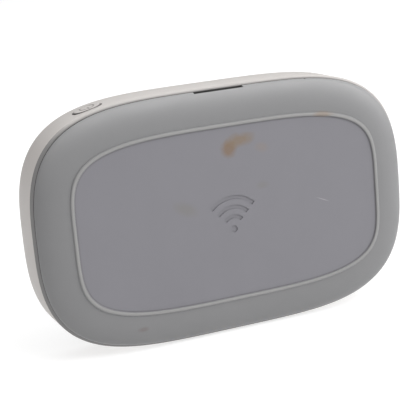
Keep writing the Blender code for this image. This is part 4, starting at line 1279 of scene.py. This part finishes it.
def card_plastic():
    finish = Finish("card_plastic")
    grain = finish.noise(3000.0, 3.0)
    soil = finish.ramp(finish.noise(240.0, 4.0, 0.6), (0.5, 0.0), (0.8, 1.0))
    chip = (abs(finish.x - (card_low.x + 7.5 * MM)) < 4.6 * MM) * (abs(finish.z - MID_Z) < 4.2 * MM)
    chip = chip * (finish.y < card_low.y + 0.05 * MM)
    colour = finish.mix(soil * 0.3, rgb(232, 232, 228), rgb(206, 202, 194))
    colour = finish.mix(chip, colour, rgb(212, 178, 108))
    finish.set(
        base_color=colour,
        metallic=chip,
        roughness=0.38 + grain * 0.12,
        normal=finish.bump(grain, 0.02 * MM, 0.4),
    )
    return finish.material


print("inside finishes ready")

# %% [markdown]
# ## Putting the finishes on
# One table gives each material slot its finish. New pieces take theirs by the slot that they
# name. The nodes that are still shown take theirs from the record's own list of slots.

# %% Assign finishes
finishes = {
    "band_plastic": band_plastic(),
    "cover_plastic": cover_plastic(),
    "black_plastic": moulded_plastic("black_plastic", rgb(22, 22, 24), rgb(28, 28, 30), 0.36),
    "frame_plastic": moulded_plastic("frame_plastic", rgb(40, 40, 43), rgb(50, 50, 53), 0.5),
    "lens_glass": lens_glass(),
    "display_panel": display_panel(),
    "board_resin": board_resin(),
    "shield_steel": metal("shield_steel", rgb(176, 176, 172), rgb(204, 204, 200), 0.26, (1.0, 1.0, 0.08)),
    "flex_film": thin_film("flex_film", rgb(156, 104, 44), rgb(184, 128, 60), 0.34),
    "graphite": thin_film("graphite", rgb(52, 52, 56), rgb(74, 74, 78), 0.4, 0.4),
    "battery_wrap": battery_wrap(),
    "gold_contact": metal("gold_contact", rgb(206, 164, 88), rgb(228, 190, 116), 0.22, (1.0, 1.0, 1.0)),
    "card_plastic": card_plastic(),
    "cap_rubber": cap_rubber(),
    "screw_steel": screw_steel(),
    "clear_resin": thin_film("clear_resin", rgb(226, 230, 234), rgb(238, 241, 244), 0.2),
}
own_pieces = {
    "band_plastic": [band, power_key],
    "cover_plastic": [cover],
    "black_plastic": [front, tongue],
    "frame_plastic": [tray],
    "lens_glass": [glass],
    "shield_steel": [cage, usb_shell],
    "battery_wrap": [battery],
    "gold_contact": blades,
    "card_plastic": [card],
    "cap_rubber": [reset_key, *flaps],
    "screw_steel": screws,
}
for slot, pieces in own_pieces.items():
    for piece in pieces:
        piece.data.materials.clear()
        piece.data.materials.append(finishes[slot])
for part in frame["record"]["subparts"]:
    for place in frame["nodes"][part["node"]].material_slots:
        place.material = finishes[part["material_slot"]]
print(len(finishes), "finishes on", sum(map(len, own_pieces.values())), "new pieces")

# %% [markdown]
# ## Camera, floor and light
# The camera stands behind and above the device's right end and is turned a few degrees, and a
# small lens shift sets the case a little off centre. The floor glows like paper on a light
# table, so that it stays white and light also reaches the case from below. A wide panel
# overhead gives most of the light. Three smaller soft boxes, two at the end of the case that
# is at the camera's right and one above and behind the camera, model the curve of the flank.

# %% Camera
AZIMUTH, ELEVATION, ROLL = math.radians(157.6), math.radians(13.4), math.radians(-4.94)
DISTANCE = 343.8 * MM
back_axis = Vector(
    (math.sin(AZIMUTH) * math.cos(ELEVATION), -math.cos(AZIMUTH) * math.cos(ELEVATION), math.sin(ELEVATION))
)
level_right = (-back_axis).cross(Vector((0.0, 0.0, 1.0))).normalized()
level_up = level_right.cross(-back_axis)
right = math.cos(ROLL) * level_right + math.sin(ROLL) * level_up
up = -math.sin(ROLL) * level_right + math.cos(ROLL) * level_up
camera_data = bpy.data.cameras.new("camera")
camera_data.lens = 111.05
camera_data.shift_x = -0.0471
camera_data.shift_y = 0.0046
camera = bpy.data.objects.new("camera", camera_data)
scene.collection.objects.link(camera)
turn = Matrix((right, up, back_axis)).transposed().to_4x4()
camera.matrix_world = Matrix.Translation(back_axis * DISTANCE + Vector((0.0, SEAM, MID_Z))) @ turn
scene.camera = camera
print("camera at", [round(c, 3) for c in camera.location])

# %% Floor and surround
bpy.ops.object.select_all(action="DESELECT")
bpy.ops.mesh.primitive_plane_add(size=12.0)
floor = name_new("floor")
paper = Finish("paper")
paper.set(base_color=(0.4, 0.4, 0.4, 1.0), roughness=0.9, emission_color=(1.0, 1.0, 1.0, 1.0))
paper.set(emission_strength=0.66)
floor.data.materials.append(paper.material)
world = bpy.data.worlds.new("studio")
scene.world = world
world.use_nodes = True
world.node_tree.nodes["Background"].inputs["Color"].default_value = (1.0, 1.0, 1.0, 1.0)
world.node_tree.nodes["Background"].inputs["Strength"].default_value = 0.12


# %% Soft boxes
def soft_box(name, place, aim, size, watts):
    light_data = bpy.data.lights.new(name, "AREA")
    light_data.size = size
    light_data.energy = watts
    light = bpy.data.objects.new(name, light_data)
    scene.collection.objects.link(light)
    light.location = place
    light.rotation_euler = (Vector(aim) - Vector(place)).to_track_quat("-Z", "Y").to_euler()


CENTRE = (0.0, 0.0, MID_Z)
soft_box("sky_panel", (0.0, 0.5, 3.0), CENTRE, 7.0, 200.0)
soft_box("right_box", (-1.0, 0.45, 0.35), CENTRE, 0.8, 7.5)
soft_box("near_box", (-0.25, 0.9, 1.1), CENTRE, 0.5, 4.5)
soft_box("high_box", (-0.9, 0.3, 0.8), CENTRE, 0.8, 3.2)
print("lights placed")
